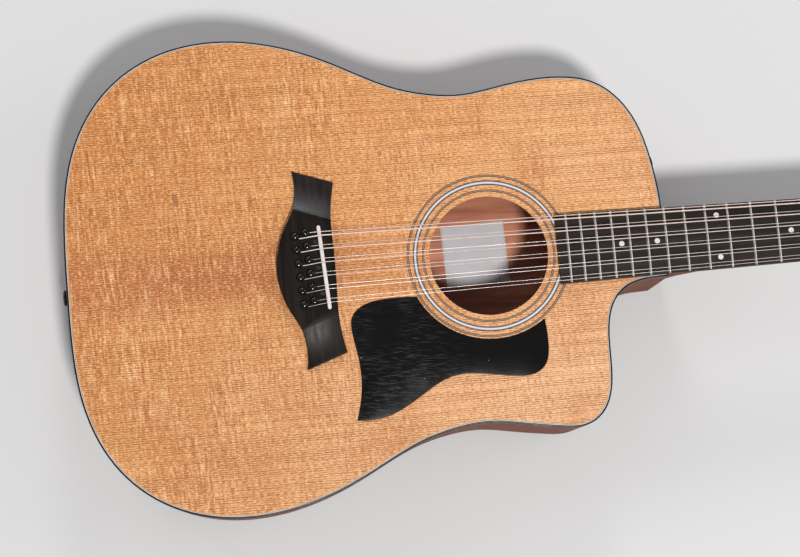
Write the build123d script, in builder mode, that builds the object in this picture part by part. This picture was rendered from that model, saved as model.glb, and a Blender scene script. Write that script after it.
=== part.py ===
from build123d import *
import math
import os

os.makedirs("parts", exist_ok=True)

# ---------------------------------------------------------------- driving dimensions (mm)
SCALE = 647.7  # nut to nominal saddle line
BODY_JOIN_FRET = 14
FRETS = 20
NUT_W = 47.4
BOARD_TAPER = 0.0255  # board widening per mm away from the nut
BOARD_T = 6.8  # board thickness on the centre line
BOARD_R = 381.0  # cross radius of board, frets and saddle
BOARD_END_U = 195.2
NUT_T = 5.0

BODY_DEPTH = 118.7  # top face to the lowest point of the domed back
DOME_R = 4572.0
DOME_U = -114.0  # where the dome is lowest
SIDE_T = 2.2
BIND_W, BIND_H = 1.6, 5.5
PURF_W, PURF_D = 1.3, 1.2
TOP_T = 2.9
BACK_T = 2.5
LINING_T, LINING_H = 6.0, 14.0

HOLE_U, HOLE_R = 136.7, 50.8
ROSETTE = [(55.0, 56.9), (60.6, 64.7), (67.8, 69.8)]
ROSETTE_D = 1.0
GUARD_T = 0.9

BRIDGE_H, WING_H = 8.5, 3.4
PIN_HOLE_R = 2.6
PIN_HEAD_R = 3.5
SADDLE_W, SADDLE_L, SADDLE_TOP = 3.2, 71.5, 12.0

HEAD_TILT = 14.0
HEAD_L, HEAD_T = 195.0, 13.5
OVERLAY_T = 1.5
TUNER_PITCH, TUNER_FIRST = 25.2, 30.0
POST_R, POST_BORE = 3.0, 3.06
WHEEL_TEETH, WORM_PITCH, WORM_C = 14, 1.8625, 6.2

# rows of the part frame: the guitar lies on its back, neck along +X, bass side +Y
SX = -307.354  # X of the nominal saddle line
TZ = BODY_DEPTH  # Z of the soundboard's face


def P(u, v, w):
    """Saddle-based coordinates (along neck, across, above the top) to the part frame."""
    return (u + SX, v, w + TZ)


def fret_u(n):
    return SCALE / 2 ** (n / 12)


def board_w(u):
    return NUT_W + BOARD_TAPER * (SCALE - u)


def save(part, name):
    part.label = name
    export_step(part, f"parts/{name}.step")
    print(name, len(part.solids()), round(part.volume, 1))


# ---------------------------------------------------------------- body outline
HALF = [(241.5, 143.3), (213.1, 150.2), (183.8, 149.7), (154.8, 145.3), (125.7, 141.1), (96.6, 143.7),
        (68.3, 151.5), (41.7, 163.9), (15.6, 177.5), (-11.4, 189.1), (-39.5, 197.5), (-68.5, 202.0),
        (-97.8, 201.7), (-126.6, 195.8), (-153.3, 183.8), (-176.4, 165.8), (-194.5, 142.8),
        (-207.1, 116.3), (-214.6, 87.9), (-218.1, 58.7), (-219.3, 29.4)]
SHOULDER = [(288.5, 28.0), (287.7, 45.0), (284.9, 66.5), (276.9, 99.8), (262.5, 125.9)]
CUTAWAY = [(205.2, -150.2), (216.1, -145.2), (224.3, -136.4), (229.2, -125.1), (231.5, -113.2),
           (232.3, -101.0), (232.5, -88.8), (232.8, -76.7), (234.2, -64.6), (237.5, -52.9), (243.7, -42.8),
           (252.9, -35.5), (264.3, -31.7), (276.4, -30.4), (288.5, -30.1)]
OUTER = SHOULDER + HALF + [(-219.5, 0.0)] + [(x, -y) for x, y in reversed(HALF[3:])] + [(183.6, -149.9)] + CUTAWAY
BODY_END_U = 288.5
outline_edge = Spline(*[(x, y, 0) for x, y in OUTER])


def loop(d, n=130):
    """Points of the outline offset inwards by d, from the bass shoulder round the tail to the treble cutaway."""
    if d == 0:
        return [(u, v) for u, v in OUTER]
    pts = []
    for i in range(n + 1):
        t = i / n
        p, g = outline_edge.position_at(t), outline_edge.tangent_at(t)
        pts.append((p.X - g.Y * d, p.Y + g.X * d))
    end = BODY_END_U - d
    pts[0] = (end, pts[0][1])
    last = len(pts) - 1
    while pts[last][0] > end:
        last -= 1
    (x0, y0), (x1, y1) = pts[last], pts[last + 1]
    k = (end - x0) / (x1 - x0)
    keep = pts[: last + 1] if k > 0.3 else pts[:last]
    return keep + [(end, y0 + k * (y1 - y0))]


def body_face(d):
    pts = [(u + SX, v) for u, v in loop(d)]
    with BuildSketch() as sk:
        with BuildLine():
            Spline(*pts)
            Line(pts[-1], pts[0])
        make_face()
    return sk.sketch


FACE = {d: body_face(d) for d in (0, BIND_W, BIND_W + PURF_W, SIDE_T, SIDE_T + LINING_T)}


def dome(inset):
    """Ball whose lower cap is the back's outer face raised by inset."""
    return Sphere(DOME_R - inset, rotation=(90, 0, 0), mode=Mode.PRIVATE).moved(
        Location((DOME_U + SX, 0, TZ - BODY_DEPTH + DOME_R)))


def back_w(u, v=0.0, inset=0.0):
    """Height of the back's surface relative to the top face."""
    r = DOME_R - inset
    return -BODY_DEPTH + DOME_R - math.sqrt(r * r - (u - DOME_U) ** 2 - v * v)


# ---------------------------------------------------------------- soundboard, rosette, purfling
PINS_FRONT = [(-17.0, 30.3), (-16.5, 18.7), (-16.0, 7.1), (-15.4, -4.5), (-14.8, -16.1), (-14.2, -27.7)]
PINS_REAR = [(-26.0, 27.7), (-25.4, 16.1), (-24.8, 4.5), (-24.1, -7.1), (-23.5, -18.7), (-22.9, -30.3)]
PINS = [p for pair in zip(PINS_FRONT, PINS_REAR) for p in pair]

with BuildPart() as soundboard:
    with BuildSketch(Plane.XY.offset(TZ - TOP_T)):
        add(FACE[BIND_W])
        with Locations((HOLE_U + SX, 0)):
            Circle(HOLE_R, mode=Mode.SUBTRACT)
        with Locations(*[(u + SX, v) for u, v in PINS]):
            Circle(PIN_HOLE_R, mode=Mode.SUBTRACT)
    extrude(amount=TOP_T)
    with BuildSketch(Plane.XY.offset(TZ - PURF_D)):
        add(FACE[BIND_W])
        add(FACE[BIND_W + PURF_W], mode=Mode.SUBTRACT)
    extrude(amount=PURF_D, mode=Mode.SUBTRACT)
    with BuildSketch(Plane.XY.offset(TZ - ROSETTE_D)):
        with Locations((HOLE_U + SX, 0)):
            for r0, r1 in reversed(ROSETTE):
                Circle(r1)
                Circle(r0, mode=Mode.SUBTRACT)
    extrude(amount=ROSETTE_D, mode=Mode.SUBTRACT)
save(soundboard.part, "soundboard")

with BuildPart() as rosette:
    with BuildSketch(Plane.XY.offset(TZ - ROSETTE_D)):
        with Locations((HOLE_U + SX, 0)):
            for r0, r1 in reversed(ROSETTE):
                Circle(r1)
                Circle(r0, mode=Mode.SUBTRACT)
    extrude(amount=ROSETTE_D)
save(rosette.part, "rosette")

with BuildPart() as purfling:
    with BuildSketch(Plane.XY.offset(TZ - PURF_D)):
        add(FACE[BIND_W])
        add(FACE[BIND_W + PURF_W], mode=Mode.SUBTRACT)
    extrude(amount=PURF_D)
save(purfling.part, "purfling")

# ---------------------------------------------------------------- electronics positions on the rim
JACK_W = -57.0
TAIL_U = -219.5
KNOB_V = 73.0
lo, hi = 0.0, 0.08
for _ in range(40):
    mid = (lo + hi) / 2
    lo, hi = (mid, hi) if outline_edge.position_at(mid).Y < KNOB_V else (lo, mid)
KNOB_U = outline_edge.position_at(lo).X
KNOB_T = outline_edge.tangent_at(lo)
KNOB_DIR = (KNOB_T.Y, -KNOB_T.X)
KNOB_WS = (-24.0, -42.0, -60.0)
BATT_V, BATT_W = -45.0, -57.0
BATT_W2, BATT_H2 = 38.0, 27.0  # cutout across and along depth


def rim_plane(w, out=0.0):
    """Plane on the rim at the knobs, its z axis pointing out of the guitar."""
    return Plane(origin=P(KNOB_U + KNOB_DIR[0] * out, KNOB_V + KNOB_DIR[1] * out, w),
                 x_dir=(0, 0, 1), z_dir=(KNOB_DIR[0], KNOB_DIR[1], 0))


# ---------------------------------------------------------------- sides, back, binding, linings
with BuildPart() as rim:
    with BuildSketch(Plane.XY.offset(TZ - BIND_H)):
        add(FACE[0])
        add(FACE[SIDE_T], mode=Mode.SUBTRACT)
    extrude(amount=-BODY_DEPTH)
    add(dome(BIND_H), mode=Mode.INTERSECT)
    with Locations(P(TAIL_U, 0, JACK_W)):
        Cylinder(6.0, 20, rotation=(0, 90, 0), mode=Mode.SUBTRACT)
    with Locations(P(-217, BATT_V, BATT_W)):
        Box(30, BATT_W2 + 0.4, BATT_H2 + 0.4, mode=Mode.SUBTRACT)
    for w in KNOB_WS:
        with BuildSketch(rim_plane(w, -8)):
            Circle(3.2)
        extrude(amount=16, mode=Mode.SUBTRACT)
    # neck bolt holes
    with Locations(P(286, 0, -38), P(286, 0, -74)):
        Cylinder(3.3, 12, rotation=(0, 90, 0), mode=Mode.SUBTRACT)
    split(bisect_by=Plane.XZ, keep=Keep.BOTH)
save(rim.part, "sides")

with BuildPart() as back:
    with BuildSketch(Plane.XY.offset(TZ - 60)):
        add(FACE[BIND_W])
    extrude(amount=-BODY_DEPTH)
    add(dome(0), mode=Mode.INTERSECT)
    add(dome(BACK_T), mode=Mode.SUBTRACT)
save(back.part, "back_plate")

with BuildPart() as back_ring:
    with BuildSketch(Plane.XY.offset(TZ - 60)):
        add(FACE[0])
        add(FACE[BIND_W], mode=Mode.SUBTRACT)
    extrude(amount=-BODY_DEPTH)
    add(dome(0), mode=Mode.INTERSECT)
    add(dome(BIND_H), mode=Mode.SUBTRACT)
with BuildPart() as binding:
    with BuildSketch(Plane.XY.offset(TZ - BIND_H)):
        add(FACE[0])
        add(FACE[BIND_W], mode=Mode.SUBTRACT)
    extrude(amount=BIND_H)
    add(back_ring.part)
save(binding.part, "binding")

NECK_BLOCK_L, NECK_BLOCK_W = 62.0, 56.0
TAIL_BLOCK_L, TAIL_BLOCK_W = 26.0, 40.0
with BuildPart() as low_ring:
    with BuildSketch(Plane.XY.offset(TZ - 60)):
        add(FACE[SIDE_T])
        add(FACE[SIDE_T + LINING_T], mode=Mode.SUBTRACT)
    extrude(amount=-BODY_DEPTH)
    add(dome(BACK_T), mode=Mode.INTERSECT)
    add(dome(BACK_T + LINING_H), mode=Mode.SUBTRACT)
with BuildPart() as linings:
    with BuildSketch(Plane.XY.offset(TZ - TOP_T - LINING_H)):
        add(FACE[SIDE_T])
        add(FACE[SIDE_T + LINING_T], mode=Mode.SUBTRACT)
    extrude(amount=LINING_H)
    add(low_ring.part)
    with Locations(P(BODY_END_U - NECK_BLOCK_L / 2, -1, -60)):
        Box(NECK_BLOCK_L + 8, NECK_BLOCK_W + 4, 140, mode=Mode.SUBTRACT)
    with Locations(P(-219.3 + TAIL_BLOCK_L / 2, 0, -60)):
        Box(TAIL_BLOCK_L + 4, TAIL_BLOCK_W, 140, mode=Mode.SUBTRACT)
save(linings.part, "linings")

with BuildPart() as neck_block:
    with BuildSketch(Plane.XY.offset(TZ - TOP_T)):
        with Locations((BODY_END_U - SIDE_T - 0.02 - NECK_BLOCK_L / 2 + SX, -1)):
            Rectangle(NECK_BLOCK_L, NECK_BLOCK_W)
        add(FACE[SIDE_T], mode=Mode.INTERSECT)
    extrude(amount=-BODY_DEPTH)
    add(dome(BACK_T + 0.02), mode=Mode.INTERSECT)
    for w in (-38, -74):
        with Locations(P(255, 0, w)):
            Cylinder(3.3, 80, rotation=(0, 90, 0), mode=Mode.SUBTRACT)
save(neck_block.part, "neck_block")

with BuildPart() as tail_block:
    with BuildSketch(Plane.XY.offset(TZ - TOP_T)):
        with Locations((-219.3 + TAIL_BLOCK_L / 2 + SX, 0)):
            Rectangle(TAIL_BLOCK_L + 4, TAIL_BLOCK_W)
        add(FACE[SIDE_T], mode=Mode.INTERSECT)
    extrude(amount=-BODY_DEPTH)
    add(dome(BACK_T + 0.02), mode=Mode.INTERSECT)
    with Locations(P(-205, 0, JACK_W)):
        Cylinder(6.0, 60, rotation=(0, 90, 0), mode=Mode.SUBTRACT)
save(tail_block.part, "tail_block")


# ---------------------------------------------------------------- braces and bridge plate
def bar(u0, v0, u1, v1, wide, tall):
    """Straight brace under the top, rounded along its lower edge."""
    length = math.hypot(u1 - u0, v1 - v0)
    plane = Plane(origin=P(u0, v0, -TOP_T), x_dir=(-(v1 - v0), u1 - u0, 0), z_dir=(u1 - u0, v1 - v0, 0))
    with BuildPart() as b:
        with BuildSketch(plane):
            with BuildLine():
                Polyline((-wide / 2, 0), (wide / 2, 0), (wide / 2, -tall * 0.6))
                ThreePointArc((wide / 2, -tall * 0.6), (0, -tall), (-wide / 2, -tall * 0.6))
                Line((-wide / 2, -tall * 0.6), (-wide / 2, 0))
            make_face()
        extrude(amount=length)
    return b.part


with BuildPart() as braces:
    add(bar(184, -129, -121, 176, 8, 14))
    add(bar(184, 129, -121, -176, 8, 14))
    add(bar(205, -116, 205, 126, 10, 15))
    with BuildSketch(Plane.XY.offset(TZ - TOP_T - 2.6)):
        with BuildLine():
            Polyline(*[(u + SX, v) for u, v in
                       [(4, -44), (4, 44), (-46, 93), (-46, -93)]], close=True)
        make_face()
        with Locations(*[(u + SX, v) for u, v in PINS]):
            Circle(PIN_HOLE_R, mode=Mode.SUBTRACT)
    extrude(amount=2.6)
    add(bar(-60, 60, -176, -40, 7, 11))
save(braces.part, "top_braces")

# ---------------------------------------------------------------- pickguard
with BuildPart() as pickguard:
    with BuildSketch(Plane.XY.offset(TZ)):
        with BuildLine():
            side_a = [(72.4, -30.1), (58.5, -29.6), (46.6, -29.9), (35.8, -31.0), (27.3, -33.6), (20.4, -37.8),
                      (16.4, -43.2), (15.2, -49.6), (16.3, -61.6), (18.6, -75.6), (19.9, -89.1), (19.6, -102.1),
                      (17.7, -114.3), (13.5, -129.8)]
            side_b = [(13.5, -129.8), (23.5, -130.9), (33.0, -130.0), (43.8, -127.2), (54.9, -122.1),
                      (66.2, -115.5), (76.2, -109.2), (86.2, -103.6), (96.0, -99.9), (105.7, -98.5),
                      (115.2, -98.8), (126.9, -100.4), (138.6, -102.3), (150.4, -104.0), (159.9, -104.2),
                      (167.6, -102.6), (173.6, -98.9), (177.7, -92.9), (179.5, -85.9), (180.1, -76.4),
                      (179.8, -66.9), (178.78, -57.2)]
            Spline(*[(u + SX, v) for u, v in side_a])
            Spline(*[(u + SX, v) for u, v in side_b])
            arc_r = 71.0
            ThreePointArc((178.78 + SX, -57.2), (HOLE_U + SX, -arc_r), (72.4 + SX, -30.1))
        make_face()
    extrude(amount=GUARD_T)
save(pickguard.part, "pickguard")

# ---------------------------------------------------------------- bridge, saddle, pins, pickup screws
BR_REAR = [(-24.4, 84.6), (-22.9, 73.0), (-23.5, 62.3), (-25.9, 51.5), (-30.9, 41.3), (-36.6, 30.4),
           (-40.6, 18.6), (-42.7, 7.2)]
BR_FRONT = [(10.2, 72.3), (7.9, 61.0), (6.2, 50.2), (5.4, 40.0), (5.4, 28.0), (5.8, 14.0)]
SADDLE_U = -3.7
SADDLE_ANG = math.degrees(math.atan2(4.1, 70.6))
SCREWS = [(-9.0, 22.2), (-8.0, 0.2), (-6.6, -21.8)]
SCOOP_ANG = 19.7
SCOOP_T, SCOOP_R = 33.5, 112.6

with BuildPart() as bridge:
    with BuildSketch(Plane.XY.offset(TZ)):
        with BuildLine():
            rear = [(u + SX, v) for u, v in BR_REAR] + [(-43.0 + SX, 0)] + [(u + SX, -v) for u, v in reversed(BR_REAR)]
            front = [(u + SX, v) for u, v in BR_FRONT] + [(6.0 + SX, 0)] + [(u + SX, -v) for u, v in reversed(BR_FRONT)]
            Spline(*rear)
            Line(rear[-1], front[-1])
            Spline(*front)
            Line(front[0], rear[0])
        make_face()
    extrude(amount=BRIDGE_H)
    a = math.radians(SCOOP_ANG)
    for sgn in (1, -1):
        tx, ty = math.sin(a), math.cos(a) * sgn
        dx, dy = math.cos(a), -math.sin(a) * sgn
        origin = P(-26.0 + tx * SCOOP_T, 51.3 * sgn + ty * SCOOP_T, WING_H + SCOOP_R)
        with Locations(Plane(origin=origin, x_dir=(0, 0, 1), z_dir=(dx, dy, 0))):
            Cylinder(SCOOP_R, 240, mode=Mode.SUBTRACT)
    with BuildSketch(Plane.XY.offset(TZ)):
        with Locations(*[(u + SX, v) for u, v in PINS]):
            Circle(PIN_HOLE_R)
    extrude(amount=BRIDGE_H + 1, mode=Mode.SUBTRACT)
    with BuildSketch(Plane.XY.offset(TZ + 4.2)):
        with Locations(Location((SADDLE_U + SX, 0, 0), (0, 0, 90 + SADDLE_ANG))):
            SlotOverall(SADDLE_L, SADDLE_W)
    extrude(amount=20, mode=Mode.SUBTRACT)
    with BuildSketch(Plane.XY.offset(TZ + 3.0)):
        with Locations(*[(u + SX, v) for u, v in SCREWS]):
            Circle(1.85)
    extrude(amount=20, mode=Mode.SUBTRACT)
save(bridge.part, "bridge")

with BuildPart() as crown:
    with BuildSketch(Plane.XZ.offset(0)):
        with BuildLine():
            ThreePointArc((-2, SADDLE_TOP - 0.95), (0, SADDLE_TOP), (2, SADDLE_TOP - 0.95))
            Polyline((2, SADDLE_TOP - 0.95), (2, -12), (-2, -12), (-2, SADDLE_TOP - 0.95))
        make_face()
    revolve(axis=Axis((0, 0, SADDLE_TOP - BOARD_R), (1, 0, 0)), revolution_arc=14)
with BuildPart() as saddle_blank:
    with BuildSketch(Plane.XY.offset(4.2)):
        SlotOverall(SADDLE_L, SADDLE_W, rotation=90)
    extrude(amount=10)
    add(crown.part.rotate(Axis((0, 0, SADDLE_TOP - BOARD_R), (1, 0, 0)), -7), mode=Mode.INTERSECT)
with BuildPart() as saddle:
    with Locations(Location(P(SADDLE_U, 0, 0), (0, 0, SADDLE_ANG))):
        add(saddle_blank.part)
save(saddle.part, "saddle")

with BuildPart() as bridge_pin:
    with BuildSketch(Plane.XZ):
        with BuildLine():
            Polyline((0, -15.0), (2.2, -15.0), (2.55, 8.6), (3.1, 8.9), (PIN_HEAD_R, 9.8))
            ThreePointArc((PIN_HEAD_R, 9.8), (2.55, 11.7), (0.5, 12.4))
            Polyline((0.5, 12.4), (0, 12.4), (0, -15.0))
        make_face()
    revolve(axis=Axis.Z)
with BuildPart() as bridge_pins:
    with Locations(*[Location(P(u, v, 0)) for u, v in PINS]):
        add(bridge_pin.part)
save(bridge_pins.part, "bridge_pins")

with BuildPart() as pickup_screws:
    for i, (u, v) in enumerate(SCREWS):
        with BuildSketch(Plane.XY.offset(TZ + 3.0)):
            with Locations((u + SX, v)):
                Circle(1.75)
        extrude(amount=5.2)
        with BuildSketch(Plane.XY.offset(TZ + 7.5)):
            with Locations(Location((u + SX, v, 0), (0, 0, 55 + 12 * i))):
                Rectangle(4.0, 0.55)
        extrude(amount=1, mode=Mode.SUBTRACT)
save(pickup_screws.part, "pickup_screws")

with BuildPart() as label:
    with BuildSketch(Plane.XY.offset(TZ - 60)):
        with Locations(Location((137.3 + SX, 16.6, 0), (0, 0, 1.5))):
            Rectangle(57, 56)
    extrude(amount=-BODY_DEPTH)
    add(dome(BACK_T), mode=Mode.INTERSECT)
    add(dome(BACK_T + 0.25), mode=Mode.SUBTRACT)
save(label.part, "soundhole_label")

# ---------------------------------------------------------------- fingerboard, frets, dots
with BuildPart() as blank:
    with BuildSketch(Plane(origin=P(BOARD_END_U, 0, 0), x_dir=(0, 1, 0), z_dir=(1, 0, 0))):
        with BuildLine():
            drop = BOARD_R - math.sqrt(BOARD_R ** 2 - 32 ** 2)
            ThreePointArc((-32, BOARD_T - drop), (0, BOARD_T), (32, BOARD_T - drop))
            Polyline((32, BOARD_T - drop), (32, 0), (-32, 0), (-32, BOARD_T - drop))
        make_face()
    extrude(amount=SCALE - BOARD_END_U)
    with BuildSketch(Plane.XY.offset(TZ)):
        with BuildLine():
            a, b = board_w(BOARD_END_U) / 2, board_w(SCALE) / 2
            Polyline(P(BOARD_END_U, -a, 0)[:2], P(SCALE, -b, 0)[:2], P(SCALE, b, 0)[:2], P(BOARD_END_U, a, 0)[:2],
                     close=True)
        make_face()
    extrude(amount=20, mode=Mode.INTERSECT)

DOTS = [(3, 0), (5, 0), (7, 0), (9, 0), (12, 18.0), (12, -18.0), (15, 0), (17, 0)]
with BuildPart() as dots:
    with BuildSketch(Plane.XY.offset(TZ + BOARD_T - 2.6)):
        with Locations(*[((fret_u(n) + fret_u(n - 1)) / 2 + SX, v) for n, v in DOTS]):
            Circle(2.3)
    extrude(amount=6)
    for n in (3, 5, 7, 9, 12, 15):
        u = (fret_u(n) + fret_u(n - 1)) / 2
        with BuildSketch(Plane(origin=P(u, board_w(u) / 2 - 1.2, 3.0), x_dir=(1, 0, 0), z_dir=(0, 1, 0))):
            if n == 12:
                with Locations((-3, 0), (3, 0)):
                    Circle(0.9)
            else:
                Circle(0.9)
        extrude(amount=4)
    add(blank.part, mode=Mode.INTERSECT)
save(dots.part, "position_dots")

CROWN_W, CROWN_H, TANG_W, TANG_D = 2.4, 1.1, 0.6, 1.8
board_axis = Axis(P(0, 0, BOARD_T - BOARD_R), (1, 0, 0))


def arc_piece(u, half_w, tang_only):
    ang = math.degrees(math.asin(half_w / BOARD_R))
    with BuildPart() as f:
        with BuildSketch(Plane(origin=P(u, 0, BOARD_T), x_dir=(1, 0, 0), z_dir=(0, -1, 0))):
            if tang_only:
                with Locations((0, -TANG_D / 2)):
                    Rectangle(TANG_W, TANG_D)
            else:
                with BuildLine():
                    Polyline((-CROWN_W / 2, 0.25), (-CROWN_W / 2, 0), (-TANG_W / 2, 0), (-TANG_W / 2, -TANG_D),
                             (TANG_W / 2, -TANG_D), (TANG_W / 2, 0), (CROWN_W / 2, 0), (CROWN_W / 2, 0.25))
                    ThreePointArc((CROWN_W / 2, 0.25), (0, CROWN_H), (-CROWN_W / 2, 0.25))
                make_face()
        revolve(axis=board_axis, revolution_arc=2 * ang)
    return f.part.rotate(board_axis, -ang)


frets_list = [arc_piece(fret_u(n), board_w(fret_u(n)) / 2 - 0.25, False) for n in range(1, FRETS + 1)]
slots_list = [arc_piece(fret_u(n), board_w(fret_u(n)) / 2 + 2, True) for n in range(1, FRETS + 1)]
frets = Compound(children=frets_list)
save(frets, "frets")

with BuildPart() as fingerboard:
    add(blank.part)
    add(dots.part, mode=Mode.SUBTRACT)
    for s in slots_list:
        add(s, mode=Mode.SUBTRACT)
save(fingerboard.part, "fingerboard")


# ---------------------------------------------------------------- neck with heel and headstock
def d_points(half, depth, power, n=14, power_w=None):
    """Underside of a neck section from one edge of the board to the other."""
    out = []
    for i in range(n + 1):
        t = math.pi * i / n
        c, s = math.cos(t), math.sin(t)
        out.append((-half * math.copysign(abs(c) ** (2 / power), c), -depth * abs(s) ** (2 / power)))
    return out


def neck_section(plane, half, depth, power):
    pts = d_points(half, depth, power)
    with BuildSketch(plane) as sk:
        with BuildLine():
            Spline(*pts)
            Line(pts[-1], pts[0])
        make_face()
    return sk.sketch


tilt = math.radians(HEAD_TILT)
S_DIR = (math.cos(tilt), 0, -math.sin(tilt))
N_DIR = (math.sin(tilt), 0, math.cos(tilt))
HEAD_U, HEAD_W = SCALE + NUT_T, 1.0


def H(s, y, n):
    """Headstock coordinates: along from the nut, across, above its face."""
    return P(HEAD_U + s * S_DIR[0] + n * N_DIR[0], y, HEAD_W + s * S_DIR[2] + n * N_DIR[2])


def head_plane(n):
    return Plane(origin=H(0, 0, n), x_dir=S_DIR, z_dir=N_DIR)


HEAD_SIDE = [(0, 23.8), (6, 24.6), (14, 29.5), (24, 36.0), (36, 38.4), (70, 39.2), (110, 40.3), (150, 41.6),
             (170, 41.4), (182, 38.0), (190, 29.5), (194.2, 15.0)]


def head_outline():
    side = [(s, y) for s, y in HEAD_SIDE]
    pts = side + [(HEAD_L, 0)] + [(s, -y) for s, y in reversed(side)]
    Spline(*pts)
    Line(pts[-1], pts[0])


POSTS = []  # (s, y, side): bass column then treble column
for k in range(6):
    POSTS.append((TUNER_FIRST + TUNER_PITCH * k, 27.0 + 0.5 * k, 1))
for k in range(6):
    POSTS.append((TUNER_FIRST + TUNER_PITCH * k, -(27.0 + 0.5 * k), -1))

COVER_SCREWS = [(6, 5.5), (6, -5.5), (32.5, 0)]
HEEL_W = -97.5  # flat end of the heel
PILOT_R = 1.05
EAR_Y = 10.8  # distance of a tuner's rear screw from its post
STRAP_U = 298.0

NECK_PLANE = lambda u: Plane(origin=P(u, 0, 0), x_dir=(0, 1, 0), z_dir=(1, 0, 0))
with BuildPart() as heel:  # a stack of U shaped plan sections
    for w, length, width in [(-3, 78, 56.4), (-14, 62, 56.6), (-22, 43, 56.4), (-32, 31, 55.8), (-48, 24, 54.4),
                             (-72, 20, 51.5), (HEEL_W, 18, 47.0)]:
        with BuildSketch(Plane(origin=P(BODY_END_U, 0, w), x_dir=(0, 1, 0), z_dir=(0, 0, 1))):
            pts = [(x, y) for x, y in d_points(width / 2, length, 2.3)]
            with BuildLine():
                Spline(*pts)
                Line(pts[-1], pts[0])
            make_face()
    loft()
with BuildPart() as volute:  # between the round neck and the flat headstock
    add(neck_section(NECK_PLANE(628), board_w(628) / 2 - 0.05, 14.7, 2.25))
    add(neck_section(Plane(origin=H(17, 0, -OVERLAY_T - 0.5), x_dir=(0, 1, 0), z_dir=S_DIR), 27.0, HEAD_T - 0.4, 5.0))
    loft(ruled=True)
with BuildPart() as neck:
    add(neck_section(NECK_PLANE(BODY_END_U), board_w(BODY_END_U) / 2, 17.6, 2.25))
    add(neck_section(NECK_PLANE(HEAD_U), board_w(HEAD_U) / 2, 14.6, 2.25))
    loft(ruled=True)
    add(heel.part)
    # headstock blank under its overlay
    with BuildSketch(head_plane(-OVERLAY_T - HEAD_T)):
        with BuildLine():
            head_outline()
        make_face()
    extrude(amount=HEAD_T)
    add(volute.part)
    # nothing of the neck stands above the board's glue line or the overlay
    with Locations(P(470, 0, 20)):
        Box(365.4, 90, 40, mode=Mode.SUBTRACT)
    with BuildSketch(head_plane(-OVERLAY_T)):
        with Locations((100, 0)):
            Rectangle(200, 90)
    extrude(amount=30, mode=Mode.SUBTRACT)
    # truss rod channel, post holes, neck bolt holes
    with BuildSketch(Plane.XY.offset(TZ - 9.5)):
        with Locations(P(485, 0, 0)[:2]):
            Rectangle(350, 6.4)
    extrude(amount=9.5, mode=Mode.SUBTRACT)
    with BuildSketch(head_plane(-OVERLAY_T - HEAD_T - 2)):
        with Locations(*[(s, y) for s, y, _ in POSTS]):
            Circle(4.2)
    extrude(amount=HEAD_T + 4, mode=Mode.SUBTRACT)
    with Locations(P(BODY_END_U + 5, 0, -38), P(BODY_END_U + 5, 0, -74)):
        Cylinder(3.2, 14, rotation=(0, 90, 0), mode=Mode.SUBTRACT)
    # pilot holes of the cover, tuner and strap button screws
    with BuildSketch(head_plane(-9)):
        with Locations(*COVER_SCREWS):
            Circle(PILOT_R)
    extrude(amount=9, mode=Mode.SUBTRACT)
    with BuildSketch(head_plane(-OVERLAY_T - HEAD_T)):
        with Locations(*[(s + EAR_Y, y - side * 1.0) for s, y, side in POSTS]):
            Circle(PILOT_R)
    extrude(amount=8.5, mode=Mode.SUBTRACT)
    with Locations(P(STRAP_U, 0, HEEL_W + 8)):
        Cylinder(1.7, 20, mode=Mode.SUBTRACT)
save(neck.part, "neck")

with BuildPart() as overlay:
    with BuildSketch(head_plane(-OVERLAY_T)):
        with BuildLine():
            head_outline()
        make_face()
        with Locations(*[(s, y) for s, y, _ in POSTS]):
            Circle(4.2, mode=Mode.SUBTRACT)
        with Locations(*COVER_SCREWS):
            Circle(PILOT_R, mode=Mode.SUBTRACT)
    extrude(amount=OVERLAY_T)
    with Locations(P(HEAD_U - 10 + 0.0, 0, 0)):
        Box(20, 90, 40, mode=Mode.SUBTRACT)
save(overlay.part, "headstock_overlay")

with BuildPart() as truss_rod:
    with Locations(P(480, 0, -5.0)):
        Cylinder(2.6, 330, rotation=(0, 90, 0))
    with Locations(P(650, 0, -5.0)):
        Cylinder(3.1, 12, rotation=(0, 90, 0))
save(truss_rod.part, "truss_rod")

with BuildPart() as truss_cover:
    with BuildSketch(head_plane(0)):
        with BuildLine():
            Polyline((2.5, -9), (2.5, 9), (20, 8), (36, 3.5))
            ThreePointArc((36, 3.5), (38.5, 0), (36, -3.5))
            Polyline((36, -3.5), (20, -8), (2.5, -9))
        make_face()
    extrude(amount=1.8)
    with BuildSketch(head_plane(0)):
        with Locations(*COVER_SCREWS):
            Circle(PILOT_R)
    extrude(amount=4, mode=Mode.SUBTRACT)
save(truss_cover.part, "truss_rod_cover")

# ---------------------------------------------------------------- strings: gauge, bass to treble in course pairs
GAUGE = [0.69, 1.19, 0.46, 0.99, 0.32, 0.76, 0.26, 0.58, 0.36, 0.36, 0.28, 0.28]
NUT_COURSES, NUT_GAP = 8.28, 2.4
SAD_COURSES, SAD_GAP = 11.4, 3.2
STRING_POST = [0, 1, 2, 3, 4, 5, 11, 10, 9, 8, 7, 6]  # string to index in POSTS
WIND_N = 7.8  # top of the windings above the headstock face


def course_y(i, pitch, gap):
    c, first = divmod(i, 2)
    return (2.5 - c) * pitch + (gap / 2 if first == 0 else -gap / 2)


NUT_TOP = BOARD_T + CROWN_H + 0.9
STRING_LOW = BOARD_T + CROWN_H + 0.45  # underside of the strings at the nut


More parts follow.
